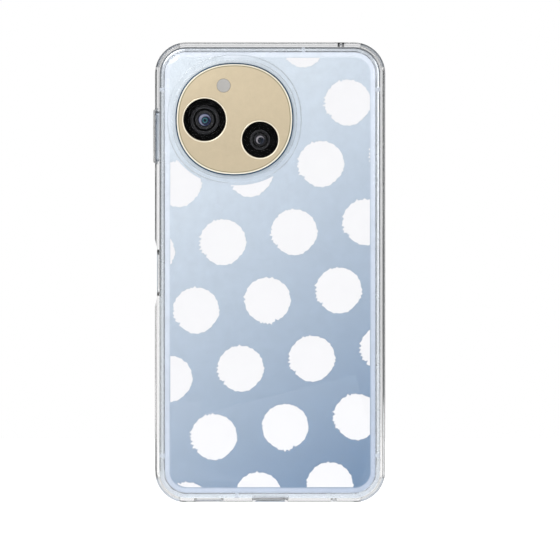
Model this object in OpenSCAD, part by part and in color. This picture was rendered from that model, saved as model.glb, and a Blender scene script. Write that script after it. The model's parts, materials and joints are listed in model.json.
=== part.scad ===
// Smartphone in a clear two-part case with a dot print.
// The parts are drawn lying down: X across, Y along the length, Z out of the phone's back,
// with Z = 0 on the back cover and X = Y = 0 in the middle of the phone.
// stand_up() then stands them on the case's bottom edge, with the back facing -Y and the screen +Y.

/* [Phone body] */
// Width of the phone
phone_w = 73; // [68:0.5:90]
// Length of the phone
phone_l = 149; // [136:0.5:180]
// Thickness of the phone, from the back cover to the screen
phone_t = 8.9; // [8.3:0.1:11]
// Outer radius of the phone's corners
phone_r = 8.8; // [7:0.2:12]
// Thickness of the metal frame's side walls
frame_wall = 2.4; // [2:0.1:3]
// Rounding of the frame's long outer edges
frame_round = 1.1; // [0.5:0.1:1.4]
// Thickness of the plate across the middle of the frame
floor_t = 0.6; // [0.4:0.1:0.8]

/* [Back cover and screen] */
// Thickness of the back cover
cover_t = 0.7; // [0.5:0.1:0.9]
// Width of the metal rim around the back cover
cover_rim = 1.6; // [1.5:0.1:1.9]
// Thickness of the screen's cover glass
glass_t = 0.6; // [0.4:0.1:0.8]
// Width of the metal rim around the cover glass
glass_rim = 1; // [0.8:0.1:1.3]
// Thickness of the display panel
panel_t = 0.8; // [0.6:0.1:1]
// Width of the black border around the picture
border_w = 2.2; // [1.5:0.1:4]
// Thickness of the adhesive tapes
tape_t = 0.1; // [0.05:0.01:0.2]

/* [Camera island] */
// Half width of the camera plate
island_a = 19.5; // [19:0.1:22]
// Half height of the camera plate
island_b = 18.6; // [18:0.1:21]
// Squareness of the camera plate's outline, where 2 is an ellipse
island_power = 2.2; // [2:0.05:3]
// Height of the camera plate's face above the back cover
island_h = 1.9; // [1.6:0.1:2.6]
// Thickness of the camera plate
plate_t = 0.7; // [0.5:0.1:0.9]
// Distance of the camera plate's middle from the phone's left side
island_left = 24.7; // [24:0.1:27]
// Distance of the camera plate's middle from the phone's top end
island_top = 23.8; // [23:0.1:27]
// Radius of the main camera's window
main_window_r = 7.05; // [6.5:0.05:7.6]
// Radius of the wide camera's window
wide_window_r = 6; // [5.2:0.05:6.4]
// Radius of the flash window
flash_r = 2.3; // [1.8:0.05:2.6]
// Radius of the main camera's moving barrel
main_barrel_r = 4.6; // [4:0.05:5]
// Radius of the wide camera's barrel
wide_barrel_r = 3.1; // [2.6:0.05:3.6]
// Width of the metal ring around each camera window
lens_ring_w = 0.5; // [0.3:0.05:0.8]
// How far the camera windows stand out of the plate
window_proud = 0.3; // [0.1:0.05:0.5]
// How far the main camera's barrel moves to focus
focus_travel = 0.35; // [0.1:0.05:0.4]

/* [Side keys] */
// Length of the volume key
volume_l = 16.6; // [13:0.1:20]
// Distance of the volume key's middle from the phone's top end
volume_top = 29.4; // [26:0.1:34]
// How far the volume key stands out of the frame
volume_proud = 0.5; // [0.3:0.05:0.7]
// Length of the power key
power_l = 13; // [10:0.1:16]
// Distance of the power key's middle from the phone's top end
power_top = 74.6; // [66:0.1:80]
// Width of the keys, across the phone's thickness
key_w = 2.6; // [2.2:0.1:3]
// How far the power key travels when it is pressed
power_travel = 0.25; // [0.1:0.05:0.3]
// How far the volume key rocks each way, in degrees
rock_deg = 1.2; // [0.6:0.1:1.5]

/* [Ports and openings] */
// Width of the charging socket's opening
usb_w = 8.94; // [8.5:0.02:9.5]
// Height of the charging socket's opening
usb_h = 3.26; // [3:0.02:3.5]
// Distance of the loudspeaker's openings from the middle of the bottom edge
speaker_x = 20.3; // [19:0.1:22]
// Number of loudspeaker openings
speaker_count = 5; // [3:1:5]
// Distance between the loudspeaker openings
speaker_pitch = 2; // [1.8:0.1:2.2]
// Radius of each loudspeaker opening
speaker_hole_r = 0.65; // [0.4:0.05:0.8]
// Distance of the bottom microphone from the middle
low_mic_x = 21; // [18:0.1:24]
// Distance of the top microphone from the middle
top_mic_x = 23.4; // [22:0.1:25]
// Radius of the microphone openings in the frame
mic_r = 0.5; // [0.3:0.05:0.8]
// Distance of the card tray's middle from the phone's top end
tray_top = 30; // [28:0.1:36]
// Length of the card tray's head
tray_l = 15.5; // [15:0.1:17]
// Height of the card tray's head
tray_h = 2.2; // [1.9:0.05:2.3]

/* [Case] */
// Thickness of the case's soft side walls
case_wall = 1.5; // [1.2:0.1:2.5]
// Gap between the case's side walls and the phone
case_gap = 0.1; // [0.05:0.05:0.3]
// Gap between the case's hard back plate and the phone
plate_gap = 0.15; // [0.12:0.01:0.4]
// Thickness of the case's hard back plate
case_plate_t = 1.4; // [1:0.1:2]
// Width of the soft flange around the back, from the case's outer edge
flange_w = 3.3; // [2.6:0.1:4]
// How far the soft flange stands above the hard plate
flange_proud = 0.2; // [0:0.05:0.5]
// Width of the sloped rim of the hard plate
bevel_w = 1.9; // [1:0.1:3]
// Drop of the sloped rim of the hard plate
bevel_drop = 0.45; // [0.2:0.05:0.8]
// Rounding of the case's long outer edges
case_round = 1.3; // [0.6:0.1:1.4]
// How far the front lip stands above the screen
lip_h = 1; // [0.4:0.1:2]
// Gap between the camera plate and the case's camera opening
camera_gap = 0.95; // [0.5:0.05:1.5]
// Width of the lip around the camera opening
camera_lip_w = 1.7; // [1:0.1:2.5]
// Height of the lip around the camera opening
camera_lip_h = 1.2; // [0.6:0.1:2]
// How much longer the case's volume button cover is than the key under it
button_more = 1.3; // [0.8:0.1:3]
// How far the volume button cover stands out of the case
button_proud = 0.6; // [0.3:0.05:0.9]
// Width of the volume button cover, across the case's thickness
button_w = 5; // [4:0.1:5.6]
// How much longer the case's notch is than the power key in it
notch_more = 3; // [2.6:0.1:6]
// Depth of the notch at the power key
notch_d = 0.73; // [0.4:0.01:0.9]
// Length of each sloped end of the notch
notch_slope = 3.3; // [2:0.1:4]
// Depth of the air pockets in the case's corners
pocket_d = 0.8; // [0.4:0.1:0.9]

/* [Dot print] */
// Radius of a printed dot
dot_r = 7.3; // [4:0.1:9]
// Distance between neighbouring dots
dot_pitch = 24.05; // [20:0.05:30]
// Tilt of the rows of dots
dot_tilt = 8; // [0:1:29]
// Distance of the first dot to the right of the middle
dot_x = -0.9; // [-12:0.1:12]
// Distance of the first dot above the middle
dot_y = -8.8; // [-12:0.1:12]
// Width of the unprinted margin, from the case's outer edge
print_margin = 5.15; // [4:0.05:7]
// Thickness of the print
print_t = 0.05; // [0.03:0.01:0.08]

/* [Hidden] */
$fn = 64;

clear_gap = 0.1; // between fixed pieces that are assembled side by side
key_gap = 0.1; // around the keys in the frame
cover_gap = 0.25; // around the volume button cover, which rocks with the key
fit_gap = 0.2; // around the cameras and the screws where they pass through a plate
cut = 0.5; // how far a cutting shape runs past the face that it opens

// Levels, from the screen up to the back
z_front = -phone_t;
z_glass = z_front + glass_t;
z_mask = z_glass + 0.05;
z_screen_ledge = z_glass + tape_t;
z_panel = z_mask + panel_t;
z_plate = z_panel + clear_gap;
z_floor = z_plate + floor_t;
z_ledge = -cover_t - tape_t;
z_middle = z_front / 2;
board_t = 0.8;
z_board = z_floor + (z_ledge - z_floor) * 0.45;
z_board_top = z_board + board_t;
flex_t = 0.15;
connector_h = 0.8;

// The frame's inner faces, and where the things inside begin and end
in_w = phone_w / 2 - frame_wall;
in_l = phone_l / 2 - frame_wall;
key_room = 2.8; // for the keys' switches and bracket behind the left wall
cable_room = 2.4; // for the antenna cable behind the right wall
board_x0 = -in_w + key_room;
board_x1 = in_w - 0.6;
board_y0 = phone_l / 2 - 43;
board_y1 = in_l - 0.6;
sub_y0 = -in_l + 0.4;
sub_y1 = sub_y0 + 10.2;
sub_x0 = -7;
low_y1 = sub_y0 + 21.2; // top of the loudspeaker and of the haptic motor
battery_x0 = board_x0 + 0.2;
battery_x1 = in_w - cable_room;
battery_y0 = low_y1 + 2;
battery_y1 = board_y0 - 1;
z_battery = -cover_t - 0.6;

// Cameras, measured from the middle of the island
island_x = island_left - phone_w / 2;
island_y = phone_l / 2 - island_top;
main_x = island_x - 9.85;
main_y = island_y - 0.2;
wide_x = island_x + 8.46;
wide_y = island_y - 6.8;
flash_x = island_x - 3.58;
flash_y = island_y + 11.1;
z_base = island_h - plate_t;
z_window = z_base + 0.1;
z_barrel = z_window - focus_travel - 0.5; // top of the barrels
z_housing = z_barrel - 0.1; // top of the camera housings
z_sensor = z_floor + 0.1;
z_main_housing = z_sensor + 0.7;
z_wide_housing = z_floor + 2;
main_seat = z_main_housing + 1;
wide_seat = z_wide_housing + 0.6;
barrel_gap = 0.08;
main_side = 2 * main_barrel_r + 3.2;
wide_side = 2 * wide_barrel_r + 3.4;
main_lens_r = 2.1;
wide_lens_r = 1.5;
z_bracket = -cover_t - 0.9;
bracket_plate_t = 0.3;

// Front camera and earpiece
front_y = phone_l / 2 - 6.6;
front_side = 6.4;
front_nose_r = 1.8;
ear_x = 14.6;
ear_y = in_l - 4.9;
ear_slit_l = 12;
ear_slit_w = 0.9;
ear_slit_y = phone_l / 2 - glass_rim - 0.6;
ear_w = 13.6;
ear_h = 7.4;
ear_deep = 2.9;
ear_cone_w = 8.6;
ear_cone_l = 4.6;
ear_travel = 0.2;
z_ear = z_floor + 0.05;
z_ear_cone = z_ear + ear_travel + 0.7;

// Keys and what is behind them
volume_y = phone_l / 2 - volume_top;
power_y = phone_l / 2 - power_top;
volume_x = -phone_w / 2 - volume_proud;
power_x = -phone_w / 2 + 0.15;
key_flange_t = 0.5;
key_flange_l = 0.5; // how far a key's flange reaches past its ends
plunger_t = 0.25;
switch_reach = volume_l / 2 - 3.3; // from the volume key's middle to each of its switches
rock_room = ceil(100 * (volume_l / 2 + key_flange_l) * sin(rock_deg) + 6) / 100;
x_flange = -in_w + rock_room;
x_pivot = x_flange + key_flange_t; // where the volume key rocks
x_switch = x_pivot + plunger_t + power_travel + 0.05;
x_flex = x_switch + 0.4;
x_bracket = x_flex + flex_t;
bracket_t = 0.5;

// Card tray and its socket
tray_y = phone_l / 2 - tray_top;
z_tray = z_floor + 0.15 + tray_h / 2;
tray_x0 = in_w - 21.5;

// Shield cans, ribbons, cable and charging socket
can_x0 = wide_x + wide_side / 2 + 2.6;
can_x1 = tray_x0 - 1;
can_y0 = board_y0 + 3.6;
can_y1 = board_y0 + 26;
can_t = 0.2;
flex_x0 = 0.2;
flex_x1 = 7.2;
flex_slot_y = low_y1 - 3.4;
cable_x = in_w - 1.3;
cable_r = 0.4;
usb_depth = 7.2;

// Loudspeaker and haptic motor
speaker_x0 = -in_w + 0.5;
speaker_x1 = sub_x0 - 1.3;
cone_x = -speaker_x;
cone_y = sub_y0 + 12.2;
cone_w = 16.8;
cone_l = 10.8;
cone_t = 0.4;
lid_t = 0.3;
z_cone = z_middle + 0.9;
z_speaker = -cover_t - 0.4;
haptic_x0 = flex_x1 + 2;
haptic_x1 = haptic_x0 + 20;
haptic_y0 = sub_y1 + 0.6;
haptic_h = 3.4;
haptic_travel = 0.4;
haptic_room = haptic_travel + 1.6; // for the mass and its springs at each end
z_haptic = z_floor + 0.05;

// Display panel
panel_w = phone_w - 2 * frame_wall - 0.2;
panel_l = phone_l - 2 * frame_wall - 0.2;
panel_r = phone_r - frame_wall - 0.1;

// Where plastic strips part the frame: [x, y, width along x, width along y]
strip_w = 1.2;
strip_places = [
    for (end = [-1, 1], side = [-1, 1]) [side * phone_w / 2, end * (phone_l / 2 - 14), 8, strip_w],
    for (end = [-1, 1]) [end * 11, end * phone_l / 2, strip_w, 8]
];

// Screws and their bosses: the camera bracket's, then the boards'
boss_r = 1.5;
screw_r = 0.6;
head_r = 1.2;
head_t = 0.5;
bracket_places = [
    [main_x - 2, main_y - main_side / 2 - 4.3], [main_x + main_side / 2 + 3.2, main_y + 2.6],
    [wide_x, wide_y + wide_side / 2 + 4.8]
];
board_places = [
    [board_x0 + 2.4, board_y1 - 2.4], [board_x1 - 2.8, board_y1 - 2.4], [board_x0 + 2.4, board_y0 + 2],
    [board_x1 - 2.8, board_y0 + 2], [sub_x0 + 14, sub_y1 - 2], [board_x1 - 2.8, sub_y1 - 2]
];

// Case
case_w = phone_w + 2 * (case_gap + case_wall);
case_l = phone_l + 2 * (case_gap + case_wall);
case_r = phone_r + case_gap + case_wall;
z_lip = z_front - lip_h;
z_plate_in = plate_gap;
z_plate_out = plate_gap + case_plate_t;
z_flange = z_plate_out + flange_proud;
z_camera_lip = z_plate_out + camera_lip_h;
button_l = volume_l + button_more;
notch_l = power_l + notch_more;
button_t = case_wall + button_proud - (volume_proud - case_gap) - clear_gap; // a gap off the key
print_w = case_w - 2 * print_margin;
print_l = case_l - 2 * print_margin;
print_r = case_r - print_margin + 0.35;
stand_y = (z_camera_lip + z_lip) / 2;

// Points of a superellipse with half axes a and b
function superellipse(a, b, n = island_power, steps = 120) = [
    for (i = [0:steps - 1])
        let (t = 360 * i / steps, c = cos(t), s = sin(t))
        [a * sign(c) * pow(abs(c), 2 / n), b * sign(s) * pow(abs(s), 2 / n)]
];

// The camera plate's outline, grown by more all round
module camera_outline(more) polygon(superellipse(island_a + more, island_b + more));

function reversed(list) = [for (i = [len(list) - 1:-1:0]) list[i]];

// Stands what was drawn lying down on the case's bottom edge
module stand_up() translate([0, stand_y, case_l / 2]) rotate([90, 0, 0]) children();

module rounded_rect(w, l, r) {
    square([w - 2 * r, l], center = true);
    square([w, l - 2 * r], center = true);
    for (x = [-1, 1], y = [-1, 1]) translate([x * (w / 2 - r), y * (l / 2 - r)]) circle(r);
}

// A plate with rounded corners between two levels
module slab(w, l, r, z0, z1) translate([0, 0, z0]) linear_extrude(z1 - z0) rounded_rect(w, l, r);

// A box between two corners
module block(low, high) translate(low) cube(high - low);

module post(x, y, r, z0, z1) translate([x, y, z0]) cylinder(z1 - z0, r = r);

// A slot outline with round ends, l long along X and w wide
module slot_outline(l, w) {
    square([l - w, w], center = true);
    for (side = [-1, 1]) translate([side * (l - w) / 2, 0]) circle(w / 2);
}

// A slot that runs along Y from y0 to y1, as one in an end wall
module slot_y(x, z, l, w, y0, y1)
    translate([x, y1, z]) rotate([90, 0, 0]) linear_extrude(y1 - y0) slot_outline(l, w);

// A slot that runs along X from x0 to x1, as one in a side wall
module slot_x(y, z, l, w, x0, x1)
    translate([x0, y, z]) rotate([90, 0, 90]) linear_extrude(x1 - x0) slot_outline(l, w);

// Sweeps a profile around a rounded rectangle. In the profile, X = 0 is the outline,
// negative X is inwards and Y is the height
module swept_ring(w, l, r) {
    for (i = [0:3]) {
        across = i % 2 == 0;
        reach = (across ? w : l) / 2;
        run = (across ? l : w) - 2 * r;
        rotate(90 * i) translate([reach, 0, 0]) rotate([90, 0, 0])
            linear_extrude(run, center = true) children();
        translate([(i == 0 || i == 3 ? 1 : -1) * (w / 2 - r), (i < 2 ? 1 : -1) * (l / 2 - r), 0])
            rotate(90 * i) rotate_extrude(angle = 90) translate([r, 0]) children();
    }
}

// The outline of a wall t thick between two levels, with its two outer edges rounded
module rounded_wall(t, z0, z1, round) {
    translate([-t, z0]) square([t - round, z1 - z0]);
    translate([-round, z0 + round]) square([round, z1 - z0 - 2 * round]);
    for (z = [z0 + round, z1 - round]) intersection() {
        translate([-round, z]) circle(round);
        translate([-round, z - round]) square([round, 2 * round]);
    }
}

// ---- Case ----

module case_profile() {
    rounded_wall(case_wall, z_lip, z_flange, case_round);
    translate([-flange_w, z_plate_in]) square([flange_w - case_round, z_flange - z_plate_in]);
}

// Crescent pockets inside the four corners of the soft wall
module corner_pockets() {
    inner_r = case_r - case_wall - cut;
    for (x = [-1, 1], y = [-1, 1])
        translate([x * (case_w / 2 - case_r), y * (case_l / 2 - case_r), z_front + 0.6])
            rotate(atan2(y, x) - 32) rotate_extrude(angle = 64)
                translate([inner_r, 0]) square([cut + pocket_d, -z_front - 1.2]);
}

// The finger notch at the power key, with the opening to the key
module power_notch() {
    half = notch_l / 2;
    translate([-case_w / 2, power_y, z_lip - cut]) linear_extrude(z_camera_lip - z_lip + 2 * cut)
        polygon([
            [-cut, -half - notch_slope * (1 + cut / notch_d)], [notch_d, -half],
            [notch_d, half], [-cut, half + notch_slope * (1 + cut / notch_d)]
        ]);
    slot_x(power_y, z_middle, power_l + 2.4, key_w + 2.6, -case_w / 2 - cut, -phone_w / 2 + case_gap);
}

// The window for the volume cover, and the channel that the volume key slides out along
module volume_window() {
    half = button_l / 2 + cover_gap;
    block([-case_w / 2 - cut, volume_y - half, z_middle - button_w / 2 - clear_gap],
        [-phone_w / 2, volume_y + half, z_middle + button_w / 2 + clear_gap]);
    block([volume_x - cover_gap, volume_y - half, z_lip - cut],
        [-phone_w / 2, volume_y + half, z_middle]);
}

module case_openings() {
    low = -case_l / 2 - cut;
    deep = -phone_l / 2;
    slot_y(-speaker_x, z_middle, (speaker_count - 1) * speaker_pitch + 1.8, 2.6, low, deep);
    slot_y(0, z_middle, usb_w + 3.2, usb_h + 3, low, deep);
    slot_y(0, z_middle, usb_w + 4.3, usb_h + 4.1, low, -case_l / 2 + 0.4);
    translate([low_mic_x, deep, z_middle]) rotate([90, 0, 0]) cylinder(deep - low, r = 1);
    translate([top_mic_x, case_l / 2 + cut, z_middle]) rotate([90, 0, 0]) {
        cylinder(deep - low, r = 1.1);
        cylinder(cut + 0.4, r = 2);
    }
}

module case_bumper() stand_up() color([0.93, 0.94, 0.96, 0.5]) difference() {
    swept_ring(case_w, case_l, case_r) case_profile();
    corner_pockets();
    power_notch();
    volume_window();
    case_openings();
}

// The hard plate's sloped rim, from the soft flange to the flat middle
module bevel_profile() polygon([
    [-flange_w, z_plate_in], [-flange_w, z_plate_out - bevel_drop],
    [-flange_w - bevel_w, z_plate_out], [-flange_w - bevel_w, z_plate_in]
]);

module case_back_plate() stand_up() color([0.86, 0.9, 0.97, 0.35]) difference() {
    union() {
        inset = flange_w + bevel_w;
        swept_ring(case_w, case_l, case_r) bevel_profile();
        slab(case_w - 2 * inset, case_l - 2 * inset, case_r - inset, z_plate_in, z_plate_out);
        translate([island_x, island_y, z_plate_in]) linear_extrude(z_camera_lip - z_plate_in)
            camera_outline(camera_gap + camera_lip_w);
    }
    translate([island_x, island_y, z_plate_in - cut]) linear_extrude(z_camera_lip - z_plate_in + 2 * cut)
        camera_outline(camera_gap);
}

// Dots on a triangular lattice, cut off at the edge of the print and around the camera
module dot_print() stand_up() color("white") translate([0, 0, z_plate_in - print_t])
    linear_extrude(print_t) intersection() {
        reach = ceil(case_l / dot_pitch);
        difference() {
            rounded_rect(print_w, print_l, print_r);
            translate([island_x, island_y]) camera_outline(camera_gap + camera_lip_w + 0.6);
        }
        union() for (i = [-reach:reach], j = [-reach:reach]) {
            x = dot_x + dot_pitch * (i * cos(dot_tilt) + j * cos(dot_tilt - 60));
            y = dot_y + dot_pitch * (i * sin(dot_tilt) + j * sin(dot_tilt - 60));
            if (abs(x) < print_w / 2 + 0.85 * dot_r && abs(y) < print_l / 2 + 0.85 * dot_r)
                translate([x, y]) circle(dot_r);
        }
    }

module case_volume_cover() stand_up() color([0.93, 0.94, 0.96, 0.5])
    translate([-case_w / 2 - button_proud + button_t / 2, volume_y, z_middle - button_w / 2])
        linear_extrude(button_w) rounded_rect(button_t, button_l, 0.6);

// ---- Phone body ----

module frame_profile() difference() {
    rounded_wall(frame_wall, z_front, 0, frame_round);
    translate([-frame_wall - cut, z_ledge]) square([frame_wall + cut - cover_rim, cut - z_ledge]);
    translate([-frame_wall - cut, z_front - cut])
        square([frame_wall + cut - glass_rim, cut + z_screen_ledge - z_front]);
}

module frame_ring() swept_ring(phone_w, phone_l, phone_r) frame_profile();

module strip_cuts() for (p = strip_places)
    translate([p[0] - p[2] / 2, p[1] - p[3] / 2, z_front - cut]) cube([p[2], p[3], phone_t + 2 * cut]);

module key_hole(y, l, w)
    slot_x(y, z_middle, l + 2 * key_gap, w + 2 * key_gap, -phone_w / 2 - cut, -in_w + cut);

// A round hole through one end wall of the frame, with its outer end at y
module end_hole(x, y, r)
    translate([x, y + cut, z_middle]) rotate([90, 0, 0]) cylinder(frame_wall + 2 * cut, r = r);

module frame_openings() {
    low = -phone_l / 2 - cut;
    key_hole(volume_y, volume_l, key_w);
    key_hole(power_y, power_l, key_w);
    slot_y(0, z_middle, usb_w + 0.2, usb_h + 0.2, low, -in_l + cut);
    for (i = [0:speaker_count - 1])
        end_hole(-speaker_x + (i - (speaker_count - 1) / 2) * speaker_pitch, -in_l, speaker_hole_r);
    end_hole(low_mic_x, -in_l, mic_r);
    end_hole(top_mic_x, phone_l / 2, mic_r);
    slot_x(tray_y, z_tray, tray_l + 0.2, tray_h + 0.2, in_w - cut, phone_w / 2 + cut);
    // the slit for the earpiece, along the screen's top edge
    block([-ear_slit_l / 2, in_l - cut, z_front - cut],
        [ear_slit_l / 2, ear_slit_y + ear_slit_w, z_floor + 1]);
    strip_cuts();
}

module mid_frame() stand_up() color([0.66, 0.73, 0.82]) difference() {
    union() {
        frame_ring();
        slab(2 * in_w + 1, 2 * in_l + 1, phone_r - frame_wall + 0.5, z_plate, z_floor);
        for (p = concat(board_places, bracket_places)) post(p[0], p[1], boss_r, z_plate, z_board);
    }
    frame_openings();
    for (p = concat(board_places, bracket_places)) post(p[0], p[1], screw_r, z_floor, z_board + cut);
    // the front camera, the earpiece's sound and the screen's ribbon pass through the floor
    block([-front_side / 2 - clear_gap, front_y - front_side / 2 - clear_gap, z_plate - cut],
        [front_side / 2 + clear_gap, front_y + front_side / 2 + clear_gap, z_floor + cut]);
    block([-8.2, flex_slot_y, z_plate - cut], [-0.8, flex_slot_y + 3.2, z_floor + cut]);
}

module antenna_strips() stand_up() color([0.6, 0.66, 0.74]) intersection() {
    frame_ring();
    strip_cuts();
}

// The room that the two rear camera housings take between two levels, with a gap around them
module camera_room(gap, z0, z1) {
    translate([main_x, main_y, 0]) slab(main_side + 2 * gap, main_side + 2 * gap, 0.8 + gap, z0, z1);
    translate([wide_x, wide_y, 0]) slab(wide_side + 2 * gap, wide_side + 2 * gap, 0.8 + gap, z0, z1);
}

module back_cover() stand_up() color([0.74, 0.81, 0.89]) difference() {
    side = cover_rim + clear_gap;
    slab(phone_w - 2 * side, phone_l - 2 * side, phone_r - side, -cover_t, 0);
    translate([island_x, island_y, -cover_t - cut]) linear_extrude(cover_t + 2 * cut) camera_outline(-2);
    camera_room(fit_gap, -cover_t - cut, cut);
}

module tape_ring(side, z0, z1) difference() {
    slab(phone_w - 2 * side, phone_l - 2 * side, phone_r - side, z0, z1);
    slab(2 * in_w, 2 * in_l, phone_r - frame_wall, z0 - cut, z1 + cut);
}

module cover_tape() stand_up() color([0.1, 0.1, 0.1]) tape_ring(cover_rim + clear_gap, z_ledge, -cover_t);

module screen_tape() stand_up() color([0.1, 0.1, 0.1]) difference() {
    tape_ring(glass_rim + clear_gap, z_glass, z_screen_ledge);
    block([-ear_slit_l / 2 - clear_gap, in_l - cut, z_glass - cut],
        [ear_slit_l / 2 + clear_gap, phone_l / 2, z_glass + cut]);
}

module display_glass() stand_up() color([0.05, 0.05, 0.06, 0.6]) difference() {
    side = glass_rim + clear_gap;
    slab(phone_w - 2 * side, phone_l - 2 * side, phone_r - side, z_front, z_glass);
    block([-ear_slit_l / 2, ear_slit_y, z_front - cut], [ear_slit_l / 2, phone_l / 2, z_glass + cut]);
}

module display_mask() stand_up() color("black") difference() {
    // the border is measured from the cover glass's edge, which lies outside the panel
    side = border_w - (frame_wall - glass_rim);
    slab(panel_w, panel_l, panel_r, z_glass, z_mask);
    slab(panel_w - 2 * side, panel_l - 2 * side, panel_r - side, z_glass - cut, z_mask + cut);
}

module display_panel() stand_up() color([0.07, 0.07, 0.08]) difference() {
    slab(panel_w, panel_l, panel_r, z_mask, z_panel);
    post(0, front_y, front_nose_r + 0.2, z_mask - cut, z_panel + cut);
}

// A ribbon with its lower side on a path of [y, z] points, from x0 to x1
module ribbon(path, x0, x1, t) translate([x0, 0, 0]) rotate([90, 0, 90]) linear_extrude(x1 - x0)
    polygon(concat(path, [for (p = reversed(path)) p + [0, t]]));

module display_flex() stand_up() color([0.75, 0.45, 0.15]) ribbon([
    [flex_slot_y + 6, z_panel], [flex_slot_y + 1.2, z_panel], [flex_slot_y + 0.6, z_floor + 0.8],
    [sub_y1 + 0.4, z_board_top + connector_h], [sub_y1 - 2.8, z_board_top + connector_h]
], -7.6, -1.4, clear_gap);

// ---- Rear cameras ----

module camera_base() stand_up() color([0.16, 0.22, 0.38]) difference() {
    translate([island_x, island_y, 0]) {
        linear_extrude(z_base) camera_outline(0);
        translate([0, 0, -cover_t]) linear_extrude(cover_t + 0.1) camera_outline(-2.1);
    }
    camera_room(fit_gap, -cover_t - cut, z_barrel);
    post(main_x, main_y, main_barrel_r + 0.3, 0, z_base + cut);
    post(wide_x, wide_y, wide_barrel_r + 0.3, 0, z_base + cut);
    post(flash_x, flash_y, flash_r - 0.4, -cover_t - cut, z_base + cut);
}

module camera_plate() stand_up() color([0.82, 0.76, 0.66]) difference() {
    translate([island_x, island_y, z_base]) linear_extrude(plate_t) camera_outline(0);
    post(main_x, main_y, main_window_r + lens_ring_w + 0.05, z_base - cut, island_h + cut);
    post(wide_x, wide_y, wide_window_r + lens_ring_w + 0.05, z_base - cut, island_h + cut);
    post(flash_x, flash_y, flash_r + 0.05, z_base - cut, island_h + cut);
}

module camera_gasket() stand_up() color([0.12, 0.12, 0.12]) difference() {
    translate([island_x, island_y, -cover_t - 0.5]) linear_extrude(0.5) difference() {
        camera_outline(-1.4);
        camera_outline(-2.3);
    }
    camera_room(fit_gap, -cover_t - 1, cut);
    for (p = bracket_places) post(p[0], p[1], head_r + fit_gap, -cover_t - 1, cut);
}

module lens_ring(x, y, r) difference() {
    post(x, y, r + lens_ring_w, z_base, island_h + window_proud - 0.1);
    post(x, y, r + 0.02, z_base - cut, island_h + window_proud + cut);
}

module lens_window(x, y, r) post(x, y, r, z_window, island_h + window_proud);

module main_lens_ring() stand_up() color([0.85, 0.8, 0.7])
    lens_ring(main_x, main_y, main_window_r);

module main_lens_window() stand_up() color([0.03, 0.03, 0.05])
    lens_window(main_x, main_y, main_window_r);

module wide_lens_ring() stand_up() color([0.85, 0.8, 0.7])
    lens_ring(wide_x, wide_y, wide_window_r);

module wide_lens_window() stand_up() color([0.03, 0.03, 0.05])
    lens_window(wide_x, wide_y, wide_window_r);

module flash_window() stand_up() color([0.72, 0.71, 0.69])
    post(flash_x, flash_y, flash_r, z_base, island_h);

module flash_led() stand_up() color([0.95, 0.9, 0.6]) {
    translate([flash_x, flash_y, 0]) slab(2.2, 2.2, 0.2, -cover_t - 0.05, 0.2);
    translate([flash_x, flash_y, 0]) slab(3.2, 3.2, 0.2, -cover_t - 0.4, -cover_t - 0.05);
}

// A square camera body with a bore for its barrel
module camera_housing(x, y, side, bore_r, z0) difference() {
    translate([x, y, 0]) slab(side, side, 0.8, z0, z_housing);
    post(x, y, bore_r, z0 + 0.6, z_housing + cut);
}

module main_camera_housing() stand_up() color([0.15, 0.15, 0.16])
    camera_housing(main_x, main_y, main_side, main_barrel_r + barrel_gap, z_main_housing);

module main_camera_sensor() stand_up() color([0.1, 0.3, 0.2]) translate([main_x, main_y, 0])
    slab(main_side, main_side, 0.8, z_sensor, z_main_housing);

// The barrel's stepped front: an outer ring, a step down and the seat of the front lens
module lens_barrel(x, y, r, lens_r, z0, z1) difference() {
    post(x, y, r, z0, z1);
    post(x, y, r * 0.82, z1 - 0.3, z1 + cut);
    post(x, y, r * 0.68, z1 - 0.6, z1 + cut);
    post(x, y, lens_r, z1 - 1.6, z1 + cut);
}

module main_lens_barrel() stand_up() color([0.35, 0.36, 0.38])
    lens_barrel(main_x, main_y, main_barrel_r, main_lens_r, main_seat, z_barrel);

// A front lens: a disc with a domed face
module front_lens(x, y, r, z) translate([x, y, z]) {
    dome_r = 3 * r;
    intersection() {
        translate([0, 0, -1]) cylinder(2, r = r - 0.02);
        translate([0, 0, 0.35 - dome_r]) sphere(dome_r);
    }
}

module main_front_lens() stand_up() color([0.1, 0.2, 0.35])
    front_lens(main_x, main_y, main_lens_r, z_barrel - 0.6);

module wide_camera_housing() stand_up() color([0.15, 0.15, 0.16])
    camera_housing(wide_x, wide_y, wide_side, wide_barrel_r + 0.02, z_wide_housing);

module wide_lens_barrel() stand_up() color([0.35, 0.36, 0.38])
    lens_barrel(wide_x, wide_y, wide_barrel_r, wide_lens_r, wide_seat, z_barrel);

module wide_front_lens() stand_up() color([0.1, 0.2, 0.35])
    front_lens(wide_x, wide_y, wide_lens_r, z_barrel - 0.6);

// A pressed plate that holds both cameras down, on three spacers

module camera_bracket() stand_up() color([0.7, 0.7, 0.72]) difference() {
    union() {
        intersection() {
            translate([island_x, island_y, z_bracket]) linear_extrude(bracket_plate_t) camera_outline(-0.6);
            block([board_x0 + 0.3, board_y0, z_bracket - cut], [in_w, in_l, z_bracket + 1]);
        }
        for (p = bracket_places) post(p[0], p[1], boss_r, z_board_top, z_bracket + bracket_plate_t);
    }
    camera_room(clear_gap, z_bracket - cut, z_bracket + 1);
    for (p = bracket_places) post(p[0], p[1], screw_r + fit_gap, z_board_top - cut, z_bracket + 1);
}

// ---- Boards ----

module board_holes(places)
    for (p = places) post(p[0], p[1], screw_r + fit_gap, z_board - cut, z_board_top + cut);

// The part of a piece that clears the frame's inner walls
module inside_frame() intersection() {
    children();
    side = frame_wall + 0.3;
    slab(phone_w - 2 * side, phone_l - 2 * side, phone_r - side, z_floor, 0);
}

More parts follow.
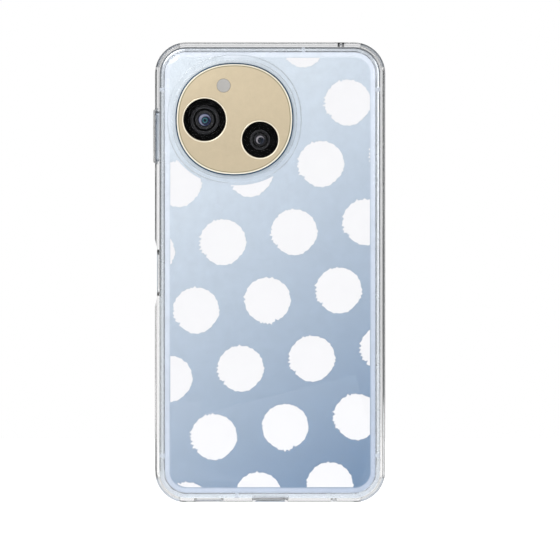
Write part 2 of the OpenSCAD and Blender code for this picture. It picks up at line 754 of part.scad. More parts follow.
module main_board() stand_up() color([0.08, 0.25, 0.18]) difference() {
    inside_frame() block([board_x0, board_y0, z_board], [board_x1, board_y1, z_board_top]);
    camera_room(fit_gap, z_board - cut, z_board_top + cut);
    block([-front_side / 2 - 0.4, ear_y - ear_h / 2 - 0.4, z_board - cut],
        [ear_x + ear_w / 2 + 0.3, in_l, z_board_top + cut]);
    board_holes(concat(board_places, bracket_places));
}

module sub_board() stand_up() color([0.08, 0.25, 0.18]) difference() {
    inside_frame() block([sub_x0, sub_y0, z_board], [board_x1, sub_y1, z_board_top]);
    block([-usb_w / 2 - fit_gap, sub_y0 - cut, z_board - cut],
        [usb_w / 2 + fit_gap, sub_y0 + usb_depth + clear_gap, z_board_top + cut]);
    board_holes(board_places);
}

// A shield can with its open side on the board
module can(low, high, open_top) difference() {
    block(low, high);
    block(low + [can_t, can_t, open_top ? can_t : -cut], high - [can_t, can_t, open_top ? -cut : can_t]);
}

module shield_cans() stand_up() color([0.72, 0.72, 0.7]) {
    can([can_x0 + 2.4, can_y0, z_board_top], [board_x1 - 3.2, can_y1, z_board_top + 1.5], false);
    can([can_x0, can_y0, z_floor + 0.2], [can_x1, can_y1, z_board], true);
}

module main_chips() stand_up() color([0.12, 0.12, 0.12]) {
    block([can_x0 + 4, can_y0 + 3, z_board_top], [can_x0 + 17, can_y0 + 16, z_board_top + 1.1]);
    block([can_x0 + 4, can_y0 + 17, z_board_top], [can_x0 + 13, can_y0 + 21, z_board_top + 0.8]);
    block([can_x0 + 1, can_y0 + 2, z_board - 1], [can_x1 - 1, can_y0 + 9, z_board]);
    block([can_x0 + 1, can_y0 + 11, z_board - 1.2], [can_x1 - 1, can_y0 + 20, z_board]);
}

module board_connectors() stand_up() color([0.2, 0.2, 0.2]) {
    block([flex_x0, board_y0 + 0.5, z_board_top], [flex_x1, board_y0 + 2.9, z_board_top + connector_h]);
    block([flex_x0, sub_y1 - 2.9, z_board_top], [flex_x1 - 3, sub_y1 - 0.5, z_board_top + connector_h]);
    block([-7, sub_y1 - 2.8, z_board_top], [-1.4, sub_y1 - 0.5, z_board_top + connector_h]);
    block([-22, board_y0 + 0.5, z_board_top], [-14, board_y0 + 2.9, z_board_top + connector_h]);
}

module screw(x, y, z_head, z_tip) {
    post(x, y, head_r, z_head, z_head + head_t);
    post(x, y, screw_r - 0.03, z_tip, z_head + 0.1);
}

module board_screws() stand_up() color([0.6, 0.6, 0.62]) {
    for (p = board_places) screw(p[0], p[1], z_board_top, z_floor + 0.3);
    for (p = bracket_places) screw(p[0], p[1], z_bracket + bracket_plate_t, z_floor + 0.3);
}

module main_flex() stand_up() color([0.8, 0.5, 0.2]) ribbon([
    [board_y0 + 2.9, z_board_top + connector_h], [board_y0 + 0.5, z_board_top + connector_h],
    [battery_y1 + 0.2, z_battery + 0.02], [battery_y0 - 0.2, z_battery + 0.02],
    [sub_y1 + 1, z_board_top + connector_h], [sub_y1 - 2.9, z_board_top + connector_h]
], flex_x0, flex_x1 - 3, flex_t);

module microphones() stand_up() color([0.75, 0.7, 0.45]) {
    block([low_mic_x - 1.8, sub_y0, z_board - 1.1], [low_mic_x + 1.8, sub_y0 + 2.7, z_board]);
    block([top_mic_x - 1.2, board_y1 - 2.7, z_board - 1.1], [top_mic_x + 1.6, board_y1, z_board]);
}

module antenna_cable() stand_up() color([0.15, 0.15, 0.15]) {
    z = z_board_top + 0.7;
    y0 = sub_y1 - 4.6;
    y1 = board_y0 + 5.4;
    translate([cable_x, y1, z]) rotate([90, 0, 0]) cylinder(y1 - y0, r = cable_r);
    for (y = [y0, y1]) post(cable_x - 0.4, y, 1, z_board_top, z_board_top + 1.2);
}

module nfc_antenna() stand_up() color([0.3, 0.2, 0.15]) {
    x0 = can_x0 + 2.6;
    x1 = board_x1 - 3.4;
    block([x0, can_y0, -cover_t - 0.35], [x1, can_y1, -cover_t - 0.15]);
    difference() {
        block([x0 + 1, can_y0 + 1, -cover_t - 0.15], [x1 - 1, can_y1 - 1, -cover_t - 0.05]);
        block([x0 + 4, can_y0 + 4, -cover_t - 1], [x1 - 4, can_y1 - 4, 0]);
    }
}

// ---- Battery, heat spreader and sockets ----

module battery() stand_up() color([0.1, 0.1, 0.11]) {
    w = battery_x1 - battery_x0;
    l = battery_y1 - battery_y0;
    translate([(battery_x0 + battery_x1) / 2, (battery_y0 + battery_y1) / 2, 0])
        slab(w, l, 1.6, z_floor + 0.2, z_battery);
}

module heat_spreader() stand_up() color([0.2, 0.2, 0.22])
    block([battery_x0 + 3, battery_y0 + 4, z_floor], [battery_x1 - 3, battery_y1 - 0.5, z_floor + 0.15]);

module usb_shell() stand_up() color([0.75, 0.75, 0.76]) difference() {
    slot_y(0, z_middle, usb_w, usb_h, -phone_l / 2 + 0.5, sub_y0 + usb_depth);
    slot_y(0, z_middle, usb_w - 0.6, usb_h - 0.6, -phone_l / 2, sub_y0 + usb_depth - 0.6);
}

module usb_tongue() stand_up() color([0.1, 0.1, 0.1])
    block([-3.3, -phone_l / 2 + 1.8, z_middle - 0.35], [3.3, sub_y0 + usb_depth - 0.6, z_middle + 0.35]);

module loudspeaker_box() stand_up() color([0.12, 0.12, 0.13]) difference() {
    inside_frame() block([speaker_x0, sub_y0, z_floor + 0.05], [speaker_x1, low_y1, z_speaker - lid_t]);
    translate([cone_x, cone_y, 0]) slab(cone_w + 0.8, cone_l + 0.8, 5.5, z_floor + 1, z_speaker);
    block([cone_x - 4.8, sub_y0 - cut, z_middle - 1.1], [cone_x + 4.8, cone_y, z_middle + 0.9]);
}

module loudspeaker_lid() stand_up() color([0.3, 0.3, 0.31]) inside_frame()
    block([speaker_x0, sub_y0, z_speaker - lid_t], [speaker_x1, low_y1, z_speaker]);

module loudspeaker_cone() stand_up() color([0.2, 0.2, 0.22]) translate([cone_x, cone_y, 0]) {
    slab(cone_w, cone_l, 5.3, z_cone, z_cone + cone_t);
    slab(cone_w - 4, cone_l - 4, 3.3, z_cone - 0.5, z_cone);
}

module earpiece_housing() stand_up() color([0.12, 0.12, 0.13]) difference() {
    block([ear_x - ear_w / 2, ear_y - ear_h / 2, z_ear],
        [ear_x + ear_w / 2, ear_y + ear_h / 2, z_ear + ear_deep]);
    translate([ear_x, ear_y, 0])
        slab(ear_cone_w + 0.7, ear_cone_l + 0.7, 2.4, z_ear - cut, z_ear + ear_deep - 0.5);
}

module earpiece_cone() stand_up() color([0.5, 0.5, 0.5]) translate([ear_x, ear_y, 0])
    slab(ear_cone_w, ear_cone_l, 2.1, z_ear_cone, z_ear_cone + 0.4);

// Woven meshes behind the loudspeaker's openings and in the earpiece's slit
module sound_meshes() stand_up() color([0.2, 0.2, 0.21]) {
    block([cone_x - 4.7, -in_l, z_middle - 1], [cone_x + 4.7, -in_l + 0.2, z_middle + 0.8]);
    block([-ear_slit_l / 2 + clear_gap, ear_slit_y + clear_gap, z_front + 0.3],
        [ear_slit_l / 2 - clear_gap, ear_slit_y + ear_slit_w - clear_gap, z_front + 0.5]);
}

module front_camera() stand_up() color([0.08, 0.08, 0.09]) {
    translate([0, front_y, 0]) slab(front_side, front_side, 0.5, z_plate + 0.1, z_floor + 3.2);
    post(0, front_y, front_nose_r, z_mask + 0.1, z_plate + 0.2);
}

// ---- Haptic motor ----

module haptic_housing() stand_up() color([0.7, 0.7, 0.7]) difference() {
    block([haptic_x0, haptic_y0, z_haptic], [haptic_x1, low_y1, z_haptic + haptic_h]);
    block([haptic_x0 + 0.4, haptic_y0 + 0.4, z_haptic - cut],
        [haptic_x1 - 0.4, low_y1 - 0.4, z_haptic + haptic_h - 0.4]);
}

module haptic_mass() stand_up() color([0.4, 0.4, 0.42])
    block([haptic_x0 + 0.4 + haptic_room, haptic_y0 + 0.7, z_haptic + 0.3],
        [haptic_x1 - 0.4 - haptic_room, low_y1 - 0.7, z_haptic + haptic_h - 0.7]);

// ---- Keys and card tray ----

// A key: the part in the frame, and a flange that keeps it from falling out
module key(y, l, x0, x1) {
    slot_x(y, z_middle, l, key_w, x0, x1);
    block([x1, y - l / 2 - key_flange_l, z_middle - key_w / 2 - 0.4],
        [x1 + key_flange_t, y + l / 2 + key_flange_l, z_middle + key_w / 2 + 0.4]);
}

module plunger(y, x) translate([x, y, z_middle]) rotate([0, 90, 0]) cylinder(plunger_t, r = 0.8);

// The volume key rocks on a round rib in its middle, which rests on the ribbon and its bracket
module volume_key() stand_up() color([0.66, 0.73, 0.82]) {
    key(volume_y, volume_l, volume_x, x_flange);
    for (side = [-1, 1]) plunger(volume_y + side * switch_reach, x_pivot);
    post(x_pivot, volume_y, x_flex - x_pivot - 0.05, z_middle - key_w / 2, z_middle + key_w / 2);
}

module power_key() stand_up() color([0.6, 0.67, 0.78]) difference() {
    union() {
        key(power_y, power_l, power_x, x_flange);
        plunger(power_y, x_pivot);
    }
    slot_x(power_y, z_middle, power_l - 1, key_w - 0.8, power_x - cut, power_x + 0.4);
}

module fingerprint_sensor() stand_up() color([0.35, 0.4, 0.48])
    slot_x(power_y, z_middle, power_l - 1.1, key_w - 0.9, power_x + 0.05, power_x + 0.4);

module key_switches() stand_up() color([0.8, 0.75, 0.6]) {
    for (y = [volume_y - switch_reach, volume_y + switch_reach, power_y])
        translate([x_switch, y, z_middle]) rotate([0, 90, 0]) cylinder(x_flex - x_switch + 0.05, r = 1.3);
    block([x_flex, power_y - 8, z_middle - 1.6],
        [x_bracket, volume_y + volume_l / 2 + 0.7, z_middle + 1.6]);
}

module key_bracket() stand_up() color([0.7, 0.7, 0.72])
    block([x_bracket, power_y - 8.5, z_middle - 1.8],
        [x_bracket + bracket_t, volume_y + volume_l / 2 + 1.2, z_middle + 1.8]);

// The card tray lies in its slot: a head in the frame's wall and a flat drawer behind it
module sim_tray() stand_up() color([0.66, 0.73, 0.82]) {
    slot_x(tray_y, z_tray, tray_l, tray_h, in_w, phone_w / 2 - 0.05);
    difference() {
        block([tray_x0, tray_y - 6.6, z_tray - 0.45], [in_w + 0.1, tray_y + 6.6, z_tray + 0.45]);
        block([tray_x0 + 2, tray_y - 4.5, z_tray - 0.2], [tray_x0 + 14.5, tray_y + 4.5, z_tray + 1]);
    }
}

// The socket that the card tray's drawer slides into, under the main board
module sim_socket() stand_up() color([0.72, 0.72, 0.7]) difference() {
    block([tray_x0 - 0.6, tray_y - 7.4, z_tray - 0.75], [in_w - 2, tray_y + 7.4, z_board]);
    block([tray_x0 - 0.2, tray_y - 6.8, z_tray - 0.55], [in_w, tray_y + 6.8, z_tray + 0.6]);
}

case_bumper();
case_back_plate();
dot_print();
case_volume_cover();
mid_frame();
antenna_strips();
back_cover();
cover_tape();
display_glass();
screen_tape();
display_mask();
display_panel();
display_flex();
camera_base();
camera_plate();
camera_gasket();
camera_bracket();
main_lens_ring();
main_lens_window();
wide_lens_ring();
wide_lens_window();
flash_window();
flash_led();
main_camera_housing();
main_camera_sensor();
main_lens_barrel();
main_front_lens();
wide_camera_housing();
wide_lens_barrel();
wide_front_lens();
front_camera();
main_board();
main_chips();
shield_cans();
board_connectors();
board_screws();
sub_board();
microphones();
main_flex();
antenna_cable();
nfc_antenna();
battery();
heat_spreader();
usb_shell();
usb_tongue();
loudspeaker_box();
loudspeaker_lid();
loudspeaker_cone();
earpiece_housing();
earpiece_cone();
sound_meshes();
haptic_housing();
haptic_mass();
volume_key();
power_key();
fingerprint_sensor();
key_switches();
key_bracket();
sim_tray();
sim_socket();
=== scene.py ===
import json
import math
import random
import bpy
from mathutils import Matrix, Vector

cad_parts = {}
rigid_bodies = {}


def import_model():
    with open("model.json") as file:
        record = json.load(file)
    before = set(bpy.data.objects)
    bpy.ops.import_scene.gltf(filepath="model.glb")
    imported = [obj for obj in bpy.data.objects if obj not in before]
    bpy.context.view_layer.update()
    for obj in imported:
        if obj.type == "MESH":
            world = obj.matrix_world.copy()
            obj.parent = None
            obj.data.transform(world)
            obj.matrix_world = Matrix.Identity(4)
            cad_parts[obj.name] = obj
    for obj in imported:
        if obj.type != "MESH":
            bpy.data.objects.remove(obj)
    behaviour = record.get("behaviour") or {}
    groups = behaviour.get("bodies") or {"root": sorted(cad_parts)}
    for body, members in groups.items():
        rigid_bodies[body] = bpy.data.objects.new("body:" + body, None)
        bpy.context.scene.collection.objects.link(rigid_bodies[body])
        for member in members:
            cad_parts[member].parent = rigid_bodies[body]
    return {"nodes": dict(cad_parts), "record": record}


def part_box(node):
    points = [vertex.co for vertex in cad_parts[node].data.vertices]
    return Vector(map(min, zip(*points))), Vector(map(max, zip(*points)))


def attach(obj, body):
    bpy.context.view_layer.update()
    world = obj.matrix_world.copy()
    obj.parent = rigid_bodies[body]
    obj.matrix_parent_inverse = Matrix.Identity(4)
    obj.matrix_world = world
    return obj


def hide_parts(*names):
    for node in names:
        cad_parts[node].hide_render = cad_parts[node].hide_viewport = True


bl_info = {
    "name": "Dotted clear case and phone",
    "version": (1, 0, 0),
    "blender": (4, 5, 0),
    "location": "3D View > Sidebar > Dotted case",
    "description": "Finishes a phone in a clear case that is printed with brushed white dots",
    "category": "Object",
}

import bmesh
import bpy
from mathutils import Matrix, Vector

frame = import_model()

NODES = frame["nodes"]
CASE_LOW, CASE_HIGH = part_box("case_bumper")
CASE_WIDTH = CASE_HIGH.x - CASE_LOW.x
CASE_LENGTH = CASE_HIGH.z - CASE_LOW.z
MIDDLE_Z = (CASE_LOW.z + CASE_HIGH.z) / 2
PLATE_LOW, PLATE_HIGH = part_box("camera_plate")
PRINT_LOW, PRINT_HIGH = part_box("dot_print")
ISLAND_POWER = 2.2  # roundness of the camera island's outline: 2 is an ellipse
CASE_CORNER = 0.0104  # corner radii, seen from the back
PLATE_CORNER = 0.0071
DISPLAY_CORNER = 0.0063
PRINT_CORNER = 0.0056
SAME_PLACE = 0.0000005  # points closer than this are one point
SAME_RIM = 0.0000001  # the same, for outlines that lie close together


# ---- properties


def colour(name, description, default):
    """A colour that a user can change."""
    return bpy.props.FloatVectorProperty(
        name=name, description=description, default=default, subtype="COLOR", size=3, min=0, max=1
    )


def length(name, description, default):
    """A length that a user can change, in metres."""
    return bpy.props.FloatProperty(
        name=name, description=description, default=default, unit="LENGTH", precision=5, min=0
    )


class CaseSizes(bpy.types.PropertyGroup):
    """Sizes of the clear case and its print."""

    soft_edge: length("Soft edge", "Rounding of the soft rim's edges", 0.00016)
    hard_thickness: length("Hard plate", "Thickness of the hard back plate", 0.0014)
    slope_width: length("Slope width", "Width of the hard plate's sloped rim", 0.0019)
    slope_drop: length("Slope drop", "How far the sloped rim falls", 0.00045)
    dot_radius: length("Dot radius", "Radius of a printed dot", 0.00758)
    dot_pitch: length("Dot pitch", "Distance between neighbouring dots in a row", 0.02381)
    dot_rows: length("Dot rows", "Distance between neighbouring rows of dots", 0.02112)
    top_drop: length("Top rows", "How much lower the top two rows sit", 0.0023)
    dot_tilt: bpy.props.FloatProperty(
        name="Dot tilt", description="Turn of the rows of dots", default=math.radians(8),
        unit="ROTATION",
    )
    dot_x: length("First dot, across", "First dot's place from the case's middle", -0.0009)
    dot_z: length("First dot, up", "First dot's place from the case's middle", -0.0092)
    bristle: length("Bristle marks", "Depth of the brush marks at a dot's edge", 0.0011)
    seed: bpy.props.IntProperty(
        name="Seed", description="Start of the random brush marks", default=7
    )


class CameraSizes(bpy.types.PropertyGroup):
    """Sizes of the camera island's visible pieces."""

    plate_bevel: length("Plate bevel", "Width of the bevel round the plate", 0.0002)
    shoulder: length("Shoulder", "Width of the blue shoulder round the plate", 0.0004)
    hole_bevel: length("Hole bevel", "Width of the bevel round the plate's holes", 0.00008)
    window_bevel: length("Window bevel", "Rounding of the camera windows", 0.00018)
    ink_width: length("Ink width", "Width of the clear middle past the lens barrel", 0.0002)


class Finishes(bpy.types.PropertyGroup):
    """Colours of the main surfaces."""

    # The two back colours are painted light and painted shade: the ends of the gradient painted
    # across the back.
    back_painted_light: colour("Back, light side", "Satin back where it is lightest", (0.65, 0.705, 0.74))
    back_painted_shade: colour("Back, dark side", "Satin back where it is darkest", (0.1, 0.185, 0.305))
    frame_blue: colour("Frame", "Satin metal frame", (0.74, 0.79, 0.86))
    gold: colour("Camera plate", "Gold camera plate", (0.55, 0.46, 0.315))
    island: colour("Island wall", "Dark blue wall of the camera island", (0.02, 0.07, 0.135))
    print_white: colour("Print", "White print", (0.78, 0.76, 0.74))
    clear: colour("Clear plastic", "Tint of the clear case", (0.985, 0.99, 1.0))
    soft_clear: colour("Soft clear plastic", "Tint of the soft rim", (0.83, 0.83, 0.825))


# ---- node materials


def new_group(name, inputs, outputs):
    """A node group. Its inputs are given with their values, its outputs with their kinds."""
    group = bpy.data.node_groups.new(name, "ShaderNodeTree")
    for label, value in inputs.items():
        kind = "NodeSocketColor" if isinstance(value, tuple) else "NodeSocketFloat"
        made = group.interface.new_socket(name=label, in_out="INPUT", socket_type=kind)
        made.default_value = value
    for label, kind in outputs.items():
        group.interface.new_socket(name=label, in_out="OUTPUT", socket_type="NodeSocket" + kind)
    given, out = group.nodes.new("NodeGroupInput"), group.nodes.new("NodeGroupOutput")
    return group, given.outputs, out.inputs


def grain_group():
    """Fine grain and slow unevenness: colour, roughness and height that change over a surface."""
    group = bpy.data.node_groups.get("fine_grain")
    if group:
        return group
    group, given, out = new_group("fine_grain", {
        "Colour": (0.5, 0.5, 0.5, 1), "Contrast": 0.1, "Grain": 4000, "Patches": 60,
        "Roughness": 0.4, "Spread": 0.1,
    }, {"Colour": "Color", "Roughness": "Float", "Height": "Float"})
    link = group.links.new
    where = group.nodes.new("ShaderNodeTexCoord").outputs["Object"]
    fine = texture(group, "Noise", where, Scale=given["Grain"]).outputs["Fac"]
    slow = texture(group, "Noise", where, Scale=given["Patches"]).outputs["Fac"]
    swing = math_node(group, "SUBTRACT", math_node(group, "ADD", fine, slow), 1.0)
    shade = math_node(group, "MULTIPLY_ADD", swing, given["Contrast"], 1.0)
    tint = group.nodes.new("ShaderNodeVectorMath")
    tint.operation = "SCALE"
    link(given["Colour"], tint.inputs[0])
    link(shade, tint.inputs["Scale"])
    link(tint.outputs["Vector"], out["Colour"])
    rough = math_node(group, "MULTIPLY_ADD", swing, given["Spread"], given["Roughness"])
    link(rough, out["Roughness"])
    link(fine, out["Height"])
    return group


def wear_group():
    """Lighter rubbed edges and corners, from how sharply the surface turns."""
    group = bpy.data.node_groups.get("rubbed_edge")
    if group:
        return group
    group, given, out = new_group("rubbed_edge", {
        "Colour": (0.5, 0.5, 0.5, 1), "Edge colour": (0.9, 0.9, 0.9, 1), "Amount": 0.3,
    }, {"Colour": "Color"})
    turn = group.nodes.new("ShaderNodeNewGeometry").outputs["Pointiness"]
    sharp = between(group, turn, 0.52, 0.62, smooth=False)
    amount = product(group, sharp, given["Amount"])
    mixed = mix_colour(group, amount, given["Colour"], given["Edge colour"])
    group.links.new(mixed, out["Colour"])
    return group


def put(tree, target, value):
    """Links a socket, or sets a plain value."""
    if isinstance(value, bpy.types.NodeSocket):
        tree.links.new(value, target)
    elif target.type == "RGBA" and len(value) == 3:
        target.default_value = (*value, 1)
    else:
        target.default_value = value


def math_node(tree, operation, *values):
    node = tree.nodes.new("ShaderNodeMath")
    node.operation = operation
    for target, value in zip(node.inputs, values):
        put(tree, target, value)
    return node.outputs["Value"]


def product(tree, one, two):
    return math_node(tree, "MULTIPLY", one, two)


def distance(tree, across, up):
    square = math_node(tree, "MULTIPLY_ADD", across, across, product(tree, up, up))
    return math_node(tree, "SQRT", square)


def mix_colour(tree, factor, first, second):
    """Mixes two colours. A Mix node's sockets share their names, so numbers pick them."""
    node = tree.nodes.new("ShaderNodeMix")
    node.data_type = "RGBA"
    for place, value in ((0, factor), (6, first), (7, second)):
        put(tree, node.inputs[place], value)
    return node.outputs[2]


def between(tree, value, low, high, smooth=True):
    """0 below low, 1 above high."""
    node = tree.nodes.new("ShaderNodeMapRange")
    node.interpolation_type = "SMOOTHSTEP" if smooth else "LINEAR"
    put(tree, node.inputs["Value"], value)
    node.inputs["From Min"].default_value = low
    node.inputs["From Max"].default_value = high
    return node.outputs["Result"]


def band(tree, value, rise, fall):
    """1 between two limits and 0 outside them. rise and fall hold each slope's two ends."""
    return product(tree, between(tree, value, *rise), between(tree, value, *fall))


def place_of(tree, centre=(0, 0, 0), scale=(1, 1, 1)):
    """Object coordinates, moved so that centre is their origin."""
    where = tree.nodes.new("ShaderNodeTexCoord").outputs["Object"]
    mapping = tree.nodes.new("ShaderNodeMapping")
    mapping.vector_type = "TEXTURE"
    mapping.inputs["Location"].default_value = centre
    mapping.inputs["Scale"].default_value = scale
    tree.links.new(where, mapping.inputs["Vector"])
    return mapping.outputs["Vector"]


def split(tree, vector):
    node = tree.nodes.new("ShaderNodeSeparateXYZ")
    tree.links.new(vector, node.inputs["Vector"])
    return node.outputs["X"], node.outputs["Y"], node.outputs["Z"]


def texture(tree, kind, vector, **values):
    node = tree.nodes.new("ShaderNodeTex" + kind)
    tree.links.new(vector, node.inputs["Vector"])
    for name, value in values.items():
        name = name.replace("_", " ")
        if name in node.inputs:
            put(tree, node.inputs[name], value)
        else:
            setattr(node, name.replace(" ", "_"), value)
    return node


def blank(name):
    """A new material: its node tree and its Principled shader."""
    material = bpy.data.materials.new(name)
    material.use_nodes = True
    return material, material.node_tree, material.node_tree.nodes["Principled BSDF"]


def set_plain(shader, **values):
    for name, value in values.items():
        target = shader.inputs[name.replace("_", " ")]
        target.default_value = (*value, 1) if target.type == "RGBA" else value


def grain_node(tree, colour, **values):
    """The grain group in a material, with its own values."""
    group = tree.nodes.new("ShaderNodeGroup")
    group.node_tree = grain_group()
    put(tree, group.inputs["Colour"], colour)
    for name, value in values.items():
        group.inputs[name].default_value = value
    return group


def grained(
    name, base, rough=0.4, metal=0.0, contrast=0.1, grain=4000, patches=60, spread=0.08,
    bump=0.0, edge=None, **plain,
):
    """A finish with fine grain. base is a colour or a socket maker."""
    material, tree, shader = blank(name)
    link = tree.links.new
    group = grain_node(
        tree, base(tree) if callable(base) else base, Contrast=contrast, Grain=grain,
        Patches=patches, Roughness=rough, Spread=spread,
    )
    shown = group.outputs["Colour"]
    if edge:
        worn = tree.nodes.new("ShaderNodeGroup")
        worn.node_tree = wear_group()
        link(shown, worn.inputs["Colour"])
        put(tree, worn.inputs["Edge colour"], edge)
        shown = worn.outputs["Colour"]
    link(shown, shader.inputs["Base Color"])
    link(group.outputs["Roughness"], shader.inputs["Roughness"])
    if bump:
        relief = tree.nodes.new("ShaderNodeBump")
        relief.inputs["Strength"].default_value = 0.4
        relief.inputs["Distance"].default_value = bump
        link(group.outputs["Height"], relief.inputs["Height"])
        link(relief.outputs["Normal"], shader.inputs["Normal"])
    set_plain(shader, Metallic=metal, **plain)
    return material


def clear_plastic(name, tint, rough, ior=1.49, lines=None):
    """Clear plastic that lets light through. lines paints shade lines into its tint."""
    material, tree, shader = blank(name)
    link = tree.links.new
    group = grain_node(
        tree, lines(tree, tint) if lines else tint, Contrast=0.02, Grain=1500, Patches=90,
        Roughness=rough, Spread=rough * 0.6,
    )
    link(group.outputs["Colour"], shader.inputs["Base Color"])
    link(group.outputs["Roughness"], shader.inputs["Roughness"])
    set_plain(shader, Transmission_Weight=1.0, IOR=ior, Metallic=0.0)
    rays = tree.nodes.new("ShaderNodeLightPath").outputs
    through = math_node(tree, "MAXIMUM", rays["Is Shadow Ray"], rays["Is Diffuse Ray"])
    passing = tree.nodes.new("ShaderNodeBsdfTransparent")
    passing.inputs["Color"].default_value = (0.97, 0.98, 1.0, 1)
    mixed = tree.nodes.new("ShaderNodeMixShader")
    link(through, mixed.inputs["Fac"])
    link(shader.outputs["BSDF"], mixed.inputs[1])
    link(passing.outputs["BSDF"], mixed.inputs[2])
    link(mixed.outputs["Shader"], tree.nodes["Material Output"].inputs["Surface"])
    return material


def lip_painted_shade_lines(tree, tint):
    """Painted shade: thin grey lines at both edges of the lip round the cameras."""
    reach, where = outline_reach(tree)
    uneven = texture(tree, "Noise", where, Scale=38, Detail=1).outputs["Fac"]
    outer = band(tree, reach, (1.117, 1.124), (1.142, 1.135))
    inner = band(tree, reach, (1.043, 1.05), (1.066, 1.06))
    both = math_node(tree, "MAXIMUM", outer, inner)
    amount = product(tree, both, between(tree, uneven, 0.36, 0.6))
    # grey-brown painted shade lines, broken up by noise
    return mix_colour(tree, product(tree, amount, 0.85), tint, (0.52, 0.5, 0.48))


def rim_painted_shade_lines(tree, tint):
    """Painted shade: grey lines along the soft rim's edge, and grey over the openings below."""
    x, _, z = split(tree, place_of(tree, (0, 0, MIDDLE_Z)))
    inside = from_rim(tree, x, z, CASE_WIDTH / 2, CASE_LENGTH / 2, CASE_CORNER)
    # painted shade lines: one near the outer edge, and one further in towards the upper right
    outer = band(tree, inside, (0.00005, 0.0002), (0.0006, 0.00045))
    inner = band(tree, inside, (0.00095, 0.00105), (0.0013, 0.0012))
    upper_right = between(tree, math_node(tree, "ADD", x, z), 0.0, 0.02)
    both = math_node(tree, "MAXIMUM", outer, product(tree, inner, upper_right))
    _, facing, _ = split(tree, tree.nodes.new("ShaderNodeTexCoord").outputs["Normal"])
    flat = between(tree, math_node(tree, "ABSOLUTE", facing), 0.05, 0.25)
    lined = mix_colour(tree, product(tree, both, flat), tint, (0.56, 0.56, 0.56))
    # painted shade over the speaker and charging openings in the lower wall
    height = math_node(tree, "ADD", z, CASE_LENGTH / 2)
    speaker = opening_shade(tree, x, height, -0.0203, 0.0049, -0.001, 0.0011)
    charging = opening_shade(tree, x, height, 0.0001, 0.0061, 0.0011, 0.0021)
    openings = math_node(tree, "MAXIMUM", speaker, charging)
    return mix_colour(tree, product(tree, openings, flat), lined, (0.5, 0.5, 0.5))


def opening_shade(tree, x, height, middle, half, low, high):
    """1 over an opening in the lower wall: half its width each way, and from low to high."""
    soft_side, soft_end = 0.00015, 0.0002
    away = math_node(tree, "ABSOLUTE", math_node(tree, "SUBTRACT", x, middle))
    level = band(tree, height, (low, low + soft_side), (high, high - soft_side))
    return product(tree, between(tree, away, half, half - soft_end), level)


def outline_reach(tree):
    """1 on the camera island's outline, less inside it, and the coordinates it is read in."""
    middle, half = (PLATE_LOW + PLATE_HIGH) / 2, (PLATE_HIGH - PLATE_LOW) / 2
    where = place_of(tree, (middle.x, 0, middle.z))
    x, _, z = split(tree, where)
    parts = []
    for way, size in ((x, half.x), (z, half.z)):
        share = math_node(tree, "DIVIDE", math_node(tree, "ABSOLUTE", way), size)
        parts.append(math_node(tree, "POWER", share, ISLAND_POWER))
    return math_node(tree, "POWER", math_node(tree, "ADD", *parts), 1 / ISLAND_POWER), where


def across_back(tree, light, dark):
    """Painted light: colour that runs from the lit upper left of the back to the shaded lower
    right, with a painted highlight along its rim.
    """
    x, _, z = split(tree, place_of(tree, (0, 0, MIDDLE_Z)))
    # painted light and shade, along the line from upper left to lower right
    run = math_node(tree, "MULTIPLY_ADD", x, -0.615, product(tree, z, 0.788))
    tone = mix_colour(tree, between(tree, run, -0.07, 0.07, smooth=False), dark, light)
    low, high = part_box("back_cover")
    inside = from_rim(tree, x, z, (high.x - low.x) / 2, (high.z - low.z) / 2, PLATE_CORNER)
    # painted highlight: a pale band near the back's rim
    painted_rim_highlight = product(tree, between(tree, inside, 0.002, 0.0013), 0.42)
    return mix_colour(tree, painted_rim_highlight, tone, (0.86, 0.88, 0.94))


def from_rim(tree, x, z, half_width, half_height, radius):
    """How far a point lies inside a rounded rectangle."""
    across = math_node(tree, "SUBTRACT", math_node(tree, "ABSOLUTE", x), half_width - radius)
    up = math_node(tree, "SUBTRACT", math_node(tree, "ABSOLUTE", z), half_height - radius)
    corner = distance(tree, *(math_node(tree, "MAXIMUM", way, 0.0) for way in (across, up)))
    straight = math_node(tree, "MINIMUM", math_node(tree, "MAXIMUM", across, up), 0.0)
    return math_node(tree, "SUBTRACT", radius, math_node(tree, "ADD", corner, straight))


def satin_back(finishes):
    def base(tree):
        return across_back(tree, finishes.back_painted_light, finishes.back_painted_shade)

    return grained(
        "satin_blue_back", base, rough=0.42, metal=0.35, contrast=0.16, grain=2600, patches=420,
        spread=0.1, bump=0.000004,
    )


def gold_plate(finishes):
    """Gold with painted shade that darkens it downwards, and at its outline a painted olive shade
    line and a painted cream highlight on the bevel.
    """
    gold = tuple(finishes.gold)
    # painted shade for the plate's lower end
    dark = tuple(0.84 * c for c in gold)

    def base(tree):
        half = (PLATE_HIGH.z - PLATE_LOW.z) / 2
        reach, where = outline_reach(tree)
        _, _, z = split(tree, where)
        face = mix_colour(tree, between(tree, z, -half, half), dark, gold)
        # painted shade line in olive, then a painted cream highlight on the bevel
        line = band(tree, reach, (0.936, 0.942), (0.957, 0.953))
        ruled = mix_colour(tree, line, face, (0.25, 0.22, 0.13))
        return mix_colour(tree, between(tree, reach, 0.953, 0.958), ruled, (0.78, 0.73, 0.6))

    return grained(
        "satin_gold_plate", base, rough=0.38, metal=0.3, contrast=0.1, grain=3200, patches=500,
        spread=0.08, bump=0.000003,
    )


